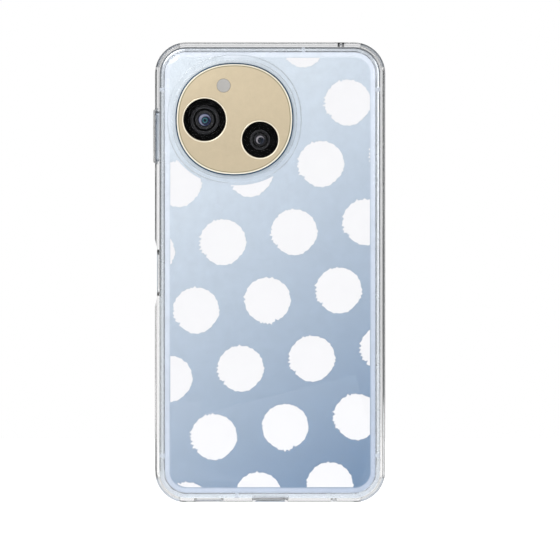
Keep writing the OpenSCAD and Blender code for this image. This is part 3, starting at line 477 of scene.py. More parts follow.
def lens_coat(name, centre, radius, tints):
    """A coated lens: dark, with a painted crescent reflection, a painted glint ring and a black
    pupil.
    """
    rim, painted_reflection, painted_glint = tints

    def base(tree):
        x, _, z = split(tree, place_of(tree, centre, scale=(radius, radius, radius)))
        whole = away_from(tree, x, z, 0, 0)
        dark = mix_colour(tree, between(tree, whole, 0.35, 0.95), (0.004, 0.005, 0.01), rim)
        # painted reflection of a lamp: a pale crescent at the upper left
        outside = between(tree, away_from(tree, x, z, 0.2, -0.16), 0.66, 0.82)
        inside = between(tree, whole, 0.98, 0.82)
        lit = mix_colour(tree, product(tree, outside, inside), dark, painted_reflection)
        # painted glint: a ring of highlight colour
        ring = band(tree, away_from(tree, x, z, 0.05, -0.08), (0.22, 0.3), (0.46, 0.36))
        return mix_colour(tree, ring, lit, painted_glint)

    return grained(
        name, base, rough=0.08, contrast=0.25, grain=900, patches=700, spread=0.04,
        Coat_Weight=0.15, Coat_Roughness=0.03, Specular_IOR_Level=0.1,
    )


def away_from(tree, x, z, point_x, point_z):
    across = math_node(tree, "SUBTRACT", x, point_x)
    return distance(tree, across, math_node(tree, "SUBTRACT", z, point_z))


def stripes(tree, where, scale, direction="X"):
    return texture(tree, "Wave", where, Scale=scale, bands_direction=direction).outputs["Fac"]


def woven_threads(tree):
    where = place_of(tree)
    threads = product(tree, stripes(tree, where, 1500), stripes(tree, where, 1500, "Z"))
    return mix_colour(tree, threads, (0.01, 0.01, 0.011), (0.2, 0.2, 0.21))


def board_tracks(tree):
    """Green board with lighter tracks and small gold pads."""
    where = place_of(tree)
    cells = texture(
        tree, "Voronoi", where, Scale=420, feature="DISTANCE_TO_EDGE", distance="CHEBYCHEV"
    )
    track = between(tree, cells.outputs["Distance"], 0.08, 0.12)
    green = mix_colour(tree, track, (0.03, 0.15, 0.07), (0.012, 0.07, 0.035))
    pads = texture(tree, "Voronoi", where, Scale=900, feature="F1")
    pad = between(tree, pads.outputs["Distance"], 0.16, 0.12)
    return mix_colour(tree, pad, green, (0.5, 0.36, 0.12))


def film_lines(tree):
    lines = between(tree, stripes(tree, place_of(tree), 700), 0.4, 0.6)
    return mix_colour(tree, lines, (0.42, 0.2, 0.04), (0.6, 0.34, 0.1))


def wrap_strips(tree):
    _, _, z = split(tree, place_of(tree))
    strip = between(tree, math_node(tree, "PINGPONG", z, 0.02), 0.0005, 0.0007)
    return mix_colour(tree, strip, (0.2, 0.2, 0.21), (0.035, 0.035, 0.04))


def display_lines(tree):
    lines = stripes(tree, place_of(tree), 2400)
    return mix_colour(tree, lines, (0.004, 0.004, 0.006), (0.009, 0.009, 0.013))


def sleeping_screen(tree):
    """An even black border, the sleeping display and the front camera, behind black glass."""
    low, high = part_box("display_panel")
    middle, half = (low + high) / 2, (high - low) / 2
    where = place_of(tree, (middle.x, 0, middle.z))
    x, _, z = split(tree, where)
    asleep = mix_colour(
        tree, stripes(tree, where, 2400), (0.003, 0.003, 0.0045), (0.006, 0.006, 0.009)
    )
    shown = between(tree, from_rim(tree, x, z, half.x, half.z, DISPLAY_CORNER), 0.0, 0.0002)
    face = mix_colour(tree, shown, (0.001, 0.001, 0.001), asleep)
    low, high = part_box("front_camera")
    eye = (low + high) / 2 - middle
    away = away_from(tree, x, z, eye.x, eye.z)
    hole = between(tree, away, 0.0019, 0.0018)
    holed = mix_colour(tree, hole, face, (0.0008, 0.0008, 0.0008))
    return mix_colour(tree, between(tree, away, 0.0009, 0.0007), holed, (0.01, 0.016, 0.035))


def brushed(name, tone, rough):
    """Rolled sheet metal with a long grain."""

    def base(tree):
        streaks = texture(tree, "Noise", place_of(tree, scale=(1, 1, 0.04)), Scale=900)
        return mix_colour(tree, streaks.outputs["Fac"], tuple(0.8 * c for c in tone), tone)

    bright = tuple(min(1, 1.3 * c) for c in tone)
    return grained(name, base, rough, 1.0, contrast=0.1, bump=0.000003, edge=bright)


def make_finishes(finishes):
    """One material for each finish of the record."""
    blue = tuple(finishes.frame_blue)
    pale_blue = tuple(min(1, 1.25 * c) for c in blue)
    return {
        "clear_soft": clear_plastic(
            "clear_soft_rim", finishes.soft_clear, 0.03, lines=rim_painted_shade_lines),
        "clear_hard": clear_plastic(
            "clear_hard_plate", finishes.clear, 0.015, lines=lip_painted_shade_lines),
        "white_print": grained(
            "white_ink", finishes.print_white, 0.5, contrast=0.03, grain=2000, patches=300,
            bump=0.00001, Specular_IOR_Level=0.2),
        "frame_metal": grained(
            "satin_frame", blue, 0.26, 0.9, contrast=0.08, bump=0.000003, edge=pale_blue),
        "strip_plastic": grained(
            "antenna_plastic", tuple(0.85 * c for c in blue), 0.45, contrast=0.08, bump=0.000005),
        "back_metal": satin_back(finishes),
        "black_tape": grained(
            "foam_tape", (0.012, 0.012, 0.012), 0.8, contrast=0.3, grain=2500, bump=0.00003),
        "screen_glass": grained(
            "screen_cover_glass", sleeping_screen, 0.03, contrast=0.1, grain=3000, patches=40,
            spread=0.01, Specular_IOR_Level=0.35),
        "black_ink": grained(
            "border_ink", (0.0015, 0.0015, 0.0015), 0.3, contrast=0.3, Specular_IOR_Level=0.02),
        "display_black": grained(
            "display_layers", display_lines, 0.25, contrast=0.2, patches=30, spread=0.02,
            Specular_IOR_Level=0.08),
        "flex_film": grained("copper_film", film_lines, 0.3, contrast=0.1, Coat_Weight=0.4),
        "island_blue": grained(
            "navy_island", finishes.island, 0.3, 0.8, contrast=0.15, bump=0.000003,
            Coat_Weight=0.3),
        "plate_gold": gold_plate(finishes),
        "black_foam": grained(
            "gasket_foam", (0.015, 0.015, 0.015), 0.9, contrast=0.4, grain=1800, bump=0.00005),
        "steel": brushed("sheet_steel", (0.6, 0.6, 0.61), 0.35),
        "ring_gold": grained(
            "lens_ring_metal", (0.85, 0.77, 0.6), 0.25, 0.45, contrast=0.06, edge=(1, 0.95, 0.82)),
        "window_glass": clear_plastic("camera_window", (0.96, 0.96, 0.97), 0.003, 1.07),
        "flash_plastic": grained(
            "flash_cover", (0.36, 0.35, 0.335), 0.35, contrast=0.06, grain=1200, patches=900,
            Coat_Weight=0.3),
        "led_white": grained(
            "led_phosphor", (0.8, 0.68, 0.2), 0.6, contrast=0.2, grain=3000, bump=0.00003),
        "black_plastic": grained(
            "moulded_black", (0.02, 0.02, 0.022), 0.55, contrast=0.2, grain=2500, bump=0.00002,
            edge=(0.08, 0.08, 0.085)),
        "board_green": grained(
            "circuit_board", board_tracks, 0.35, contrast=0.1, bump=0.00001, Coat_Weight=0.3),
        "barrel_grey": grained(
            "barrel_plastic", (0.016, 0.016, 0.017), 0.5, contrast=0.12, grain=3500,
            bump=0.000006, Specular_IOR_Level=0.2),
        "lens_glass": grained(
            "lens_blank", (0.02, 0.05, 0.1), 0.05, contrast=0.1, Coat_Weight=1.0),
        "chip_black": grained(
            "chip_resin", (0.022, 0.022, 0.024), 0.6, contrast=0.3, grain=5000, bump=0.00001),
        "mic_brass": brushed("plated_brass", (0.75, 0.58, 0.26), 0.3),
        "black_rubber": grained(
            "cable_rubber", (0.02, 0.02, 0.02), 0.7, contrast=0.2, bump=0.00001),
        "ferrite": grained(
            "ferrite_sheet", (0.06, 0.05, 0.045), 0.6, contrast=0.4, grain=2200, bump=0.00003),
        "battery_wrap": grained(
            "battery_film", wrap_strips, 0.42, 0.2, contrast=0.15, patches=140, bump=0.00002),
        "graphite": grained(
            "graphite_sheet", (0.045, 0.045, 0.048), 0.35, 0.4, contrast=0.3, patches=300),
        "cone_film": grained(
            "cone_paper", (0.09, 0.09, 0.095), 0.5, contrast=0.3, grain=1500, bump=0.00003),
        "mesh_dark": grained(
            "woven_mesh", woven_threads, 0.45, 0.7, contrast=0.2, bump=0.00002),
        "tungsten": brushed("sintered_metal", (0.3, 0.3, 0.32), 0.45),
        "sensor_dark": grained(
            "sensor_ceramic", tuple(0.35 * c for c in blue), 0.3, 0.2, contrast=0.1,
            Coat_Weight=0.4),
    }


MADE = {}


def finish_of(slot_name):
    if not MADE:
        MADE.update(make_finishes(bpy.context.scene.dotted_finishes))
    return MADE[slot_name]


# ---- pieces


def new_object(bm, name):
    mesh = bpy.data.meshes.new(name)
    bm.to_mesh(mesh)
    bm.free()
    made = bpy.data.objects.new(name, mesh)
    bpy.context.collection.objects.link(made)
    return made


def smooth(mesh, angle):
    """Smooth shading, with sharp edges where the surface turns by more than angle, in degrees."""
    mesh.shade_smooth()
    mesh.set_sharp_from_angle(angle=math.radians(angle))


def piece(bm, name, body, slot_name, nodes=(), material=None, angle=30, fix_normals=True):
    """Turns a bmesh into a finished piece that rides on a body."""
    if fix_normals:
        bmesh.ops.recalc_face_normals(bm, faces=bm.faces)
    made = new_object(bm, name)
    smooth(made.data, angle)
    made.data.materials.append(material or finish_of(slot_name))
    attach(made, body)
    if nodes:
        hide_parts(*nodes)
    return made


def soften(made, width, angle=35):
    """Small rounded edges, so that they catch the light."""
    bevel = made.modifiers.new("soft_edges", "BEVEL")
    bevel.width = width
    bevel.segments = 2
    bevel.limit_method = "ANGLE"
    bevel.angle_limit = math.radians(angle)
    return made


def merged_copy(node):
    """The CAD node's shape, merged into clean faces."""
    bm = bmesh.new()
    bm.from_mesh(NODES[node].data)
    bmesh.ops.remove_doubles(bm, verts=bm.verts, dist=SAME_PLACE)
    bmesh.ops.dissolve_degenerate(bm, edges=bm.edges, dist=SAME_PLACE)
    bmesh.ops.dissolve_limit(
        bm, angle_limit=math.radians(0.2), use_dissolve_boundaries=False, verts=bm.verts,
        edges=bm.edges,
    )
    return bm


def body_of(node):
    return NODES[node].parent.name.split(":", 1)[1]


def refined(node, name, slot_name, edge=0.0):
    """A piece made from the CAD node's own shape, smooth and with soft edges."""
    made = piece(merged_copy(node), name, body_of(node), slot_name, (node,), fix_normals=False)
    return soften(made, edge) if edge else made


def cut(made, *tools, operation="DIFFERENCE"):
    """Cuts tool shapes from a piece, or adds them, or keeps what is in both."""
    for tool in tools:
        step = made.modifiers.new("cut", "BOOLEAN")
        step.operation = operation
        step.object = tool
        step.solver = "EXACT"
    bpy.context.view_layer.update()
    evaluated = made.evaluated_get(bpy.context.evaluated_depsgraph_get())
    shaped = bpy.data.meshes.new_from_object(evaluated)
    made.modifiers.clear()
    made.data = shaped
    for tool in tools:
        bpy.data.objects.remove(tool)


def tool_shape(bm):
    bmesh.ops.recalc_face_normals(bm, faces=bm.faces)
    return new_object(bm, "tool")


def raise_face(bm, face, depth):
    """Extrudes a flat face along Y into a slab."""
    grown = bmesh.ops.extrude_face_region(bm, geom=[face])["geom"]
    corners = [v for v in grown if isinstance(v, bmesh.types.BMVert)]
    bmesh.ops.translate(bm, verts=corners, vec=(0, depth, 0))
    return [f for f in grown if isinstance(f, bmesh.types.BMFace)][0]


def round_off(bm, parts, size, segments, affect="EDGES"):
    bmesh.ops.bevel(
        bm, geom=parts, offset=size, offset_type="OFFSET", segments=segments, profile=0.5,
        affect=affect, material=-1,
    )


def arc(r, y, radius, start, end, steps):
    """Points of a rounded edge, in (offset, y), turning from outwards (0) to backwards (90)."""
    turns = (math.radians(start + (end - start) * k / steps) for k in range(steps + 1))
    return [(r + radius * math.cos(t), y - radius * math.sin(t)) for t in turns]


def stacked(bm, outline, levels, closed=False):
    """Bridges one outline, made at several offsets and depths, into a solid or a closed ring."""
    levels = list(levels)
    for one, two in zip(levels, levels[1:] + levels[:1] if closed else levels[1:]):
        faces = [outline(bm, *one), outline(bm, *two)]
        edges = [edge for face in faces for edge in face.edges]
        bmesh.ops.delete(bm, geom=faces, context="FACES_ONLY")
        bmesh.ops.bridge_loops(bm, edges=edges)
    if not closed:
        outline(bm, *levels[0])
        outline(bm, *levels[-1])
    bmesh.ops.remove_doubles(bm, verts=bm.verts, dist=SAME_RIM)


def disc(bm, centre, radius, y, segments=96):
    """A round face across the view from the back."""
    made = bmesh.ops.create_circle(
        bm, cap_ends=True, segments=segments, radius=radius,
        matrix=Matrix.Translation((centre[0], y, centre[1])) @ Matrix.Rotation(math.pi / 2, 4, "X"),
    )
    return made["verts"][0].link_faces[0]


def rounded_face(bm, centre, width, height, radius, y, steps=16):
    """A rounded rectangle across the view from the back."""
    corners = [
        bm.verts.new((centre[0] + sx * width / 2, y, centre[1] + sz * height / 2))
        for sx, sz in ((-1, -1), (1, -1), (1, 1), (-1, 1))
    ]
    bm.faces.new(corners)
    round_off(bm, corners, radius, steps, "VERTICES")
    bm.faces.ensure_lookup_table()
    return bm.faces[-1]


def island_face(bm, more, y):
    """The camera island's rounded outline, grown by more."""
    middle = (PLATE_LOW + PLATE_HIGH) / 2
    half_w = (PLATE_HIGH.x - PLATE_LOW.x) / 2 + more
    half_h = (PLATE_HIGH.z - PLATE_LOW.z) / 2 + more
    face = disc(bm, (middle.x, middle.z), 1.0, y, 160)
    for corner in face.verts:
        across, up = corner.co.x - middle.x, corner.co.z - middle.z
        turn = math.atan2(up, across)
        c, s = math.cos(turn), math.sin(turn)
        corner.co.x = middle.x + half_w * math.copysign(abs(c) ** (2 / ISLAND_POWER), c)
        corner.co.z = middle.z + half_h * math.copysign(abs(s) ** (2 / ISLAND_POWER), s)
    return face


def turned(profile, centre, steps=96):
    """A round piece: the profile, in (radius, y), spun about the line along Y through centre."""
    bm = bmesh.new()
    rim = [bm.verts.new((centre[0] + r, y, centre[1])) for r, y in profile]
    edges = [bm.edges.new(pair) for pair in zip(rim, rim[1:])]
    if profile[0][0] > 0:
        edges.append(bm.edges.new((rim[-1], rim[0])))
    bmesh.ops.spin(
        bm, geom=rim + edges, cent=(centre[0], 0, centre[1]), axis=(0, 1, 0), angle=math.tau,
        steps=steps, use_merge=True,
    )
    bmesh.ops.remove_doubles(bm, verts=bm.verts, dist=SAME_PLACE)
    return bm


def centre_of(node):
    """A round node's centre, radius, and lowest and highest y."""
    low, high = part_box(node)
    return ((low.x + high.x) / 2, (low.z + high.z) / 2), (high.x - low.x) / 2, low.y, high.y


# ---- operators


class PieceOperator(bpy.types.Operator):
    """Makes a group of pieces."""

    bl_options = {"REGISTER", "UNDO"}


class CASE_OT_soft_rim(PieceOperator):
    """Soft clear rim of the case, and its cover over the volume key"""

    bl_idname = "dotted_case.soft_rim"
    bl_label = "Soft rim"

    def execute(self, context):
        edge = context.scene.dotted_case.soft_edge
        refined("case_bumper", "soft_rim", "clear_soft", edge)
        low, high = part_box("case_volume_cover")
        block = Matrix.Translation((low + high) / 2) @ Matrix.Diagonal((*(high - low), 1))
        bm = bmesh.new()
        bmesh.ops.create_cube(bm, size=1, matrix=block)
        middle, outer_radius = (low.x + high.x) / 2, 0.00055
        outer = [e for e in bm.edges if all(v.co.x < middle for v in e.verts)]
        round_off(bm, outer, outer_radius, 4)
        nodes = ("case_volume_cover",)
        soften(piece(bm, "volume_button_cover", "volume_cover", "clear_soft", nodes), edge)
        return {"FINISHED"}


class CASE_OT_hard_plate(PieceOperator):
    """Hard clear back plate with its raised lip around the cameras"""

    bl_idname = "dotted_case.hard_plate"
    bl_label = "Hard plate"

    def execute(self, context):
        sizes = context.scene.dotted_case
        low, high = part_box("case_back_plate")
        width, tall = high.x - low.x, high.z - low.z
        inner, outer = high.y, high.y - sizes.hard_thickness
        slope, fallen = sizes.slope_width, outer + sizes.slope_drop
        soft = 0.0002

        def rim(bm, inset, y):
            return rounded_face(
                bm, (0, MIDDLE_Z), width - 2 * inset, tall - 2 * inset, PLATE_CORNER - inset, y, 20
            )

        bm = bmesh.new()
        stacked(bm, rim, (
            (0, inner), (0, fallen + 0.5 * soft), (0.3 * soft, fallen),
            (soft, fallen - 0.3 * soft), (slope - soft, outer + 0.2 * soft),
            (slope, outer + 0.05 * soft), (slope + soft, outer),
        ))
        plate = piece(bm, "hard_plate", "case", "clear_hard", ("case_back_plate",), angle=25)
        past, opening = 0.001, 0.0015
        hole = bmesh.new()
        raise_face(hole, island_face(hole, opening, low.y - past), high.y - low.y + 2 * past)
        cut(plate, tool_shape(hole))
        cut(plate, tool_shape(self.lip(low.y, inner)), operation="UNION")
        smooth(plate.data, 25)
        return {"FINISHED"}

    def lip(self, top, low):
        """The raised lip round the cameras, rounded more at its outer edge."""
        near, far = 0.00095, 0.00265
        big, small = 0.00045, 0.0003
        bm = bmesh.new()
        levels = [(near, low), (far, low)]
        levels += arc(far - big, top + big, big, 0, 90, 6)
        levels += arc(near + small, top + small, small, 90, 180, 5)
        stacked(bm, island_face, levels, closed=True)
        return bm


class CASE_OT_dots(PieceOperator):
    """Brushed white dots, printed on the inside of the hard plate"""

    bl_idname = "dotted_case.dots"
    bl_label = "Brushed dots"
    gap = 0.00001  # between the print and the clear plate, so that their faces don't coincide
    worn_low = {(0, 0), (-2, 1)}  # row and place in the row
    left_out = (4, -3)  # only a sliver of it would lie on the plate
    top_row = 3  # the first of the rows that sit lower
    camera_margin = 0.00325

    def execute(self, context):
        sizes = context.scene.dotted_case
        chance = random.Random(sizes.seed)
        bm = bmesh.new()
        thick = PRINT_HIGH.y - PRINT_LOW.y - self.gap
        half = (PRINT_HIGH - PRINT_LOW) / 2 + Vector((sizes.dot_radius, 0, sizes.dot_radius))
        c, s = math.cos(sizes.dot_tilt), math.sin(sizes.dot_tilt)
        for row in range(-6, 7):
            for step in range(-6, 7):
                u, v = sizes.dot_pitch * (step + row * 0.5), sizes.dot_rows * row
                x = sizes.dot_x + u * c - v * s
                z = sizes.dot_z + u * s + v * c - (sizes.top_drop if row >= self.top_row else 0)
                if abs(x) > half.x or abs(z) > half.z or (row, step) == self.left_out:
                    continue
                self.one_dot(bm, sizes, chance, x, MIDDLE_Z + z, (row, step) in self.worn_low)
        for face in list(bm.faces):
            raise_face(bm, face, thick)
        made = piece(bm, "brushed_dots", "case", "white_print", ("dot_print",), angle=10)
        area = bmesh.new()
        width, tall = PRINT_HIGH.x - PRINT_LOW.x, PRINT_HIGH.z - PRINT_LOW.z
        face = rounded_face(area, (0, MIDDLE_Z), width, tall, PRINT_CORNER, PRINT_LOW.y - thick)
        raise_face(area, face, 3 * thick)
        camera = bmesh.new()
        face = island_face(camera, self.camera_margin, PRINT_LOW.y - 2 * thick)
        raise_face(camera, face, 5 * thick)
        cut(made, tool_shape(area), operation="INTERSECT")
        cut(made, tool_shape(camera))
        return {"FINISHED"}

    def one_dot(self, bm, sizes, chance, x, z, worn_low):
        """One dab of a round brush, ragged at the left and top, or at the bottom where worn_low.

        marks holds turn, width and push; spread holds first turn, last turn, count and push.
        Turns are in degrees, and a push of 1 is one bristle mark.
        """
        face = disc(bm, (x, z), sizes.dot_radius, PRINT_LOW.y + self.gap, 480)
        marks = [(-4, 8, 0.25)]
        if worn_low:
            marks += [(293, 5, -0.9), (306, 16, -0.15), (30, 16, 0.15), (236, 18, -0.15)]
            spread = (
                (250, 282, 7, 0.55), (170, 190, 4, 0.4), (64, 98, 6, 0.25), (0, 360, 40, 0.16)
            )
        else:
            marks += [
                (218, 4, -0.9), (236, 18, -0.2), (315, 24, -0.22), (196, 16, 0.15), (140, 14, -0.12)
            ]
            spread = (
                (166, 214, 10, 0.5), (92, 114, 5, 0.32), (-20, 8, 6, 0.22), (0, 360, 40, 0.17)
            )
        for low, high, count, share in spread:
            step = (high - low) / count
            for k in range(count):
                size = chance.uniform(0.3, 1.3) if k % 2 == 0 else -chance.uniform(0.1, 0.9)
                middle = low + (k + chance.uniform(0.2, 0.8)) * step
                marks.append((middle, 0.5 * step * chance.uniform(0.9, 1.5), share * size))
        phase = chance.uniform(0, math.tau)
        for corner in face.verts:
            turn = math.degrees(math.atan2(corner.co.z - z, corner.co.x - x))
            slow, quick = math.radians(3 * turn), math.radians(31 * turn) + phase
            push = 0.06 * math.sin(slow) + 0.05 * math.sin(quick)
            for middle, wide, size in marks:
                away = abs((turn - middle + 180) % 360 - 180)
                if away < wide:
                    push += size * (1 - away / wide)
            scale = 1 + sizes.bristle * push / sizes.dot_radius
            corner.co.x = x + (corner.co.x - x) * scale
            corner.co.z = z + (corner.co.z - z) * scale


class CASE_OT_phone_back(PieceOperator):
    """Satin back cover, metal frame and its antenna strips"""

    bl_idname = "dotted_case.phone_back"
    bl_label = "Phone back and frame"

    def execute(self, context):
        refined("back_cover", "satin_back", "back_metal", 0.00012)
        refined("mid_frame", "metal_frame", "frame_metal")
        refined("antenna_strips", "frame_strips", "strip_plastic")
        return {"FINISHED"}


class CASE_OT_camera_island(PieceOperator):
    """Camera island: blue wall, gold plate, lens rings, windows and flash"""

    bl_idname = "dotted_case.camera_island"
    bl_label = "Camera island"

    def execute(self, context):
        sizes = context.scene.dotted_camera
        self.wall(sizes)
        self.plate(sizes)
        for lens in ("main", "wide"):
            self.window(lens, sizes)
        self.flash()
        return {"FINISHED"}

    def wall(self, sizes):
        """The blue wall under the plate, with a rounded shoulder that shows around the plate."""
        bm = merged_copy("camera_base")
        low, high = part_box("camera_base")
        middle, half = (low + high) / 2, (high - low) / 2

        def on_rim(point):
            across, up = abs(point.x - middle.x) / half.x, abs(point.z - middle.z) / half.z
            outermost = across ** ISLAND_POWER + up ** ISLAND_POWER > 0.98
            on_top = abs(point.y - low.y) < 0.00001
            return on_top and outermost

        rim = [e for e in bm.edges if all(on_rim(v.co) for v in e.verts)]
        round_off(bm, rim, 0.9 * sizes.shoulder, 4)
        piece(
            bm, "island_wall", "phone", "island_blue", ("camera_base",), angle=40,
            fix_normals=False,
        )

    def plate(self, sizes):
        """The gold plate, with holes for the lens rings and the flash."""
        bm = bmesh.new()
        face = island_face(bm, -sizes.shoulder, PLATE_HIGH.y)
        face = raise_face(bm, face, PLATE_LOW.y - PLATE_HIGH.y)
        round_off(bm, list(face.edges), sizes.plate_bevel, 3)
        plate = piece(bm, "gold_plate", "phone", "plate_gold", ("camera_plate",))
        past = 0.0005
        holes = []
        for node in ("main_lens_ring", "wide_lens_ring", "flash_window"):
            middle, radius, low, high = centre_of(node)
            hole = bmesh.new()
            raise_face(hole, disc(hole, middle, radius, high + past), low - high - 2 * past)
            holes.append(tool_shape(hole))
        cut(plate, *holes)
        plate.data.set_sharp_from_angle(angle=math.radians(30))
        soften(plate, sizes.hole_bevel, angle=60)

    def window(self, lens, sizes):
        """A lens ring, the window in it and the ink under the window."""
        middle, outer, top, low = centre_of(f"{lens}_lens_ring")
        _, inner, glass_top, glass_low = centre_of(f"{lens}_lens_window")
        soft, bevel = 0.00016, sizes.window_bevel
        ring = [
            (inner, low), (outer, low), (outer, top + soft), (outer - soft, top),
            (inner + soft, top), (inner, top + soft),
        ]
        glass = [
            (0, glass_low), (inner, glass_low), (inner, glass_top + bevel),
            (inner - 0.3 * bevel, glass_top + 0.3 * bevel), (inner - bevel, glass_top),
            (0, glass_top),
        ]
        _, barrel, _, _ = centre_of(f"{lens}_lens_barrel")
        clear, edge = barrel + sizes.ink_width, inner - 0.00005
        ink_top, ink_low = glass_low + 0.00002, glass_low + 0.00008
        ink = [(clear, ink_low), (edge, ink_low), (edge, ink_top), (clear, ink_top)]
        piece(
            turned(ring, middle), f"{lens}_ring", "phone", "ring_gold", (f"{lens}_lens_ring",),
            angle=50,
        )
        piece(
            turned(glass, middle), f"{lens}_window", "phone", "window_glass",
            (f"{lens}_lens_window",),
        )
        piece(turned(ink, middle), f"{lens}_window_ink", "phone", "black_ink")

    def flash(self):
        middle, radius, top, low = centre_of("flash_window")
        soft = 0.00015
        cover = [
            (0, low), (radius, low), (radius, top + soft), (radius - soft, top),
            (radius - 2 * soft, top + 0.2 * soft), (0, top + 0.4 * soft),
        ]
        shape = turned(cover, middle)
        piece(shape, "flash_cover", "phone", "flash_plastic", ("flash_window",))


class CASE_OT_lenses(PieceOperator):
    """Stepped lens barrels and the domed front lenses in them"""

    bl_idname = "dotted_case.lenses"
    bl_label = "Lenses"
    dome_share = 0.25  # a lens dome's height as a share of its radius
    dome_steps = 12

    def execute(self, context):
        # For each lens: coating tint at its rim, painted crescent reflection and painted glint.
        tints = {
            "main": ((0.008, 0.014, 0.05), (0.19, 0.2, 0.28), (0.03, 0.13, 0.15)),
            "wide": ((0.008, 0.012, 0.025), (0.26, 0.24, 0.25), (0.003, 0.008, 0.012)),
        }
        for lens, body in (("main", "focus_barrel"), ("wide", "phone")):
            self.barrel(lens, body)
            node = f"{lens}_front_lens"
            middle, radius, top, low = centre_of(node)
            turns = (math.pi / 2 * k / self.dome_steps for k in range(self.dome_steps))
            dome = [
                (radius * math.cos(a), top + (1 - math.sin(a)) * radius * self.dome_share)
                for a in turns
            ]
            shape = turned([(0, low), (radius, low), *dome, (0, top)], middle, 64)
            centre = (middle[0], 0, middle[1])
            coat = lens_coat(f"{lens}_lens_coating", centre, radius, tints[lens])
            piece(shape, f"{lens}_lens", body, "lens_glass", (node,), coat)
        return {"FINISHED"}

    def barrel(self, lens, body):
        """A stepped barrel around the lens, and the dark ring in its groove."""
        middle, radius, top, low = centre_of(f"{lens}_lens_barrel")
        _, bore, _, _ = centre_of(f"{lens}_front_lens")
        bore += 0.00002
        step, groove, edge, foil = 0.0003, 0.0006, 0.00006, 0.00003
        one, two = radius * 0.82, radius * 0.68
        profile = [
            (bore, low), (radius, low), (radius, top + edge), (radius - edge, top),
            (one + edge, top), (one, top + edge), (one, top + groove), (two, top + groove),
            (two, top + step + edge), (two - edge, top + step), (bore + 0.0004, top + step),
            (bore, top + groove),
        ]
        piece(
            turned(profile, middle), f"{lens}_barrel", body, "barrel_grey",
            (f"{lens}_lens_barrel",),
        )
        y = top + groove - foil
        dark = turned([(two, y), (one, y), (one, y - foil), (two, y - foil)], middle)
        piece(dark, f"{lens}_barrel_groove", body, "black_ink")


class CASE_OT_details(PieceOperator):
    """Keys, card tray, screen glass and charging socket, with rounded edges"""

    bl_idname = "dotted_case.details"
    bl_label = "Details"

    def execute(self, context):
        refined("volume_key", "volume_rocker_key", "frame_metal", 0.00018)
        refined("power_key", "power_button", "frame_metal", 0.00012)
        refined("fingerprint_sensor", "fingerprint_pad", "sensor_dark", 0.00008)
        refined("sim_tray", "card_tray", "frame_metal", 0.0001)
        refined("display_glass", "cover_glass", "screen_glass", 0.00022)
        refined("usb_shell", "socket_sleeve", "steel", 0.00006)
        refined("usb_tongue", "socket_tongue", "black_plastic", 0.00012)
        return {"FINISHED"}


class CASE_OT_inner_parts(PieceOperator):
    """Finishes for the parts inside the phone"""

    bl_idname = "dotted_case.inner_parts"
    bl_label = "Inner parts"

    def execute(self, context):
        slots = {entry["slot"] for entry in frame["record"]["materials"]}
        for node in NODES.values():
            for place in node.material_slots:
                name = place.material.name.split(".")[0]
                if name in slots:
                    place.material = finish_of(name)
        return {"FINISHED"}


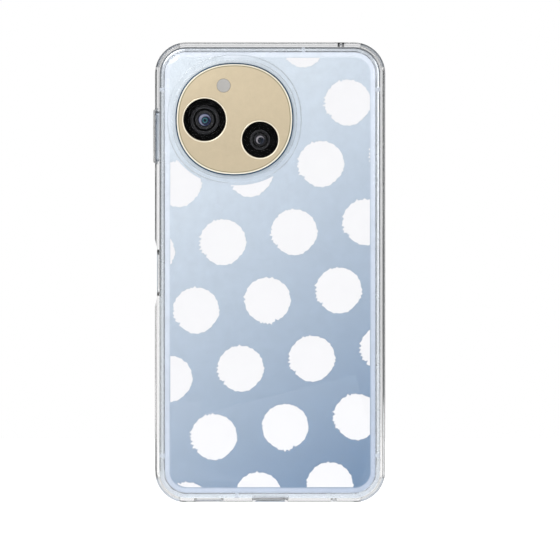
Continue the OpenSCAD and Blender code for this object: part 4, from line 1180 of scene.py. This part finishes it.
class CASE_OT_stage(PieceOperator):
    """Pale floor, soft light and the camera behind the phone"""

    bl_idname = "dotted_case.stage"
    bl_label = "Stage"

    def execute(self, context):
        scene = context.scene
        scene.view_settings.view_transform = "Standard"
        self.floor()
        self.world(scene)
        self.light("soft_left", (-1.1, -1.9, 1.5), size=1.3, power=24)
        self.light("soft_right", (1.6, -1.5, 0.6), size=1.0, power=8)
        self.camera(scene)
        return {"FINISHED"}

    def camera(self, scene):
        """Far behind the phone, so that its sides hardly show."""
        shown_width, away = 0.1851, 3.0
        right, down = 0.00326, 0.00248
        lens = bpy.data.cameras.new("camera")
        lens.sensor_width = 36
        lens.lens = lens.sensor_width * away / shown_width
        lens.clip_end = 20
        camera = bpy.data.objects.new("camera", lens)
        camera.location = (right, PLATE_LOW.y - away, MIDDLE_Z - down)
        camera.rotation_euler = (math.pi / 2, 0, 0)
        scene.collection.objects.link(camera)
        scene.camera = camera

    def floor(self):
        bm = bmesh.new()
        bmesh.ops.create_circle(bm, cap_ends=True, segments=64, radius=1.2)
        floor = new_object(bm, "floor")
        material, tree, shader = blank("pale_floor")
        spots = texture(tree, "Noise", place_of(tree), Scale=12)
        shade = mix_colour(tree, spots.outputs["Fac"], (0.86, 0.86, 0.86), (0.9, 0.9, 0.9))
        tree.links.new(shade, shader.inputs["Base Color"])
        set_plain(
            shader, Roughness=0.9, Emission_Color=(1, 1, 1), Emission_Strength=0.9,
            Specular_IOR_Level=0.0,
        )
        floor.data.materials.append(material)

    def world(self, scene):
        """White to the camera. What is lit sees it bright ahead and behind, darker at the sides."""
        world = bpy.data.worlds.new("studio")
        world.use_nodes = True
        scene.world = world
        tree = world.node_tree
        _, y, _ = split(tree, tree.nodes.new("ShaderNodeTexCoord").outputs["Generated"])
        near = between(tree, product(tree, y, -1.0), 0.3, 0.88)
        card = between(tree, y, 0.8, 0.96)
        ahead = between(tree, y, 0.1, 0.4)
        dim = mix_colour(tree, ahead, (0.03, 0.032, 0.035), (0.12, 0.122, 0.125))
        tone = mix_colour(tree, math_node(tree, "MAXIMUM", near, card), dim, (0.98, 0.985, 1.0))
        rays = tree.nodes.new("ShaderNodeLightPath")
        shown = mix_colour(tree, rays.outputs["Is Camera Ray"], tone, (1, 1, 1))
        background = tree.nodes["Background"]
        tree.links.new(shown, background.inputs["Color"])
        background.inputs["Strength"].default_value = 1.0

    def light(self, name, place, size, power):
        lamp = bpy.data.lights.new(name, "AREA")
        lamp.size = size
        lamp.energy = power
        lamp.color = (1.0, 0.99, 0.97)
        made = bpy.data.objects.new(name, lamp)
        made.location = place
        toward = Vector((0, 0, MIDDLE_Z)) - Vector(place)
        made.rotation_euler = toward.to_track_quat("-Z", "Y").to_euler()
        bpy.context.collection.objects.link(made)


class CASE_PT_panel(bpy.types.Panel):
    """Sizes, finishes and steps of the dotted case"""

    bl_label = "Dotted case"
    bl_idname = "CASE_PT_panel"
    bl_space_type = "VIEW_3D"
    bl_region_type = "UI"
    bl_category = "Dotted case"

    def draw(self, context):
        for group in ("dotted_case", "dotted_camera", "dotted_finishes"):
            box = self.layout.box()
            values = getattr(context.scene, group)
            for name in values.bl_rna.properties.keys():
                if name not in ("rna_type", "name"):
                    box.prop(values, name)
        for step in STEPS:
            self.layout.operator(step.bl_idname)


GROUPS = {"dotted_case": CaseSizes, "dotted_camera": CameraSizes, "dotted_finishes": Finishes}
STEPS = (
    CASE_OT_phone_back, CASE_OT_camera_island, CASE_OT_lenses, CASE_OT_details,
    CASE_OT_inner_parts, CASE_OT_soft_rim, CASE_OT_hard_plate, CASE_OT_dots, CASE_OT_stage,
)


def register():
    for made in (*GROUPS.values(), *STEPS, CASE_PT_panel):
        bpy.utils.register_class(made)
    for name, group in GROUPS.items():
        setattr(bpy.types.Scene, name, bpy.props.PointerProperty(type=group))


def unregister():
    for name in GROUPS:
        delattr(bpy.types.Scene, name)
    for made in reversed((*GROUPS.values(), *STEPS, CASE_PT_panel)):
        bpy.utils.unregister_class(made)


def main():
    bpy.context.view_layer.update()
    register()
    for step in STEPS:
        area, name = step.bl_idname.split(".")
        getattr(getattr(bpy.ops, area), name)()


if __name__ == "__main__":
    main()
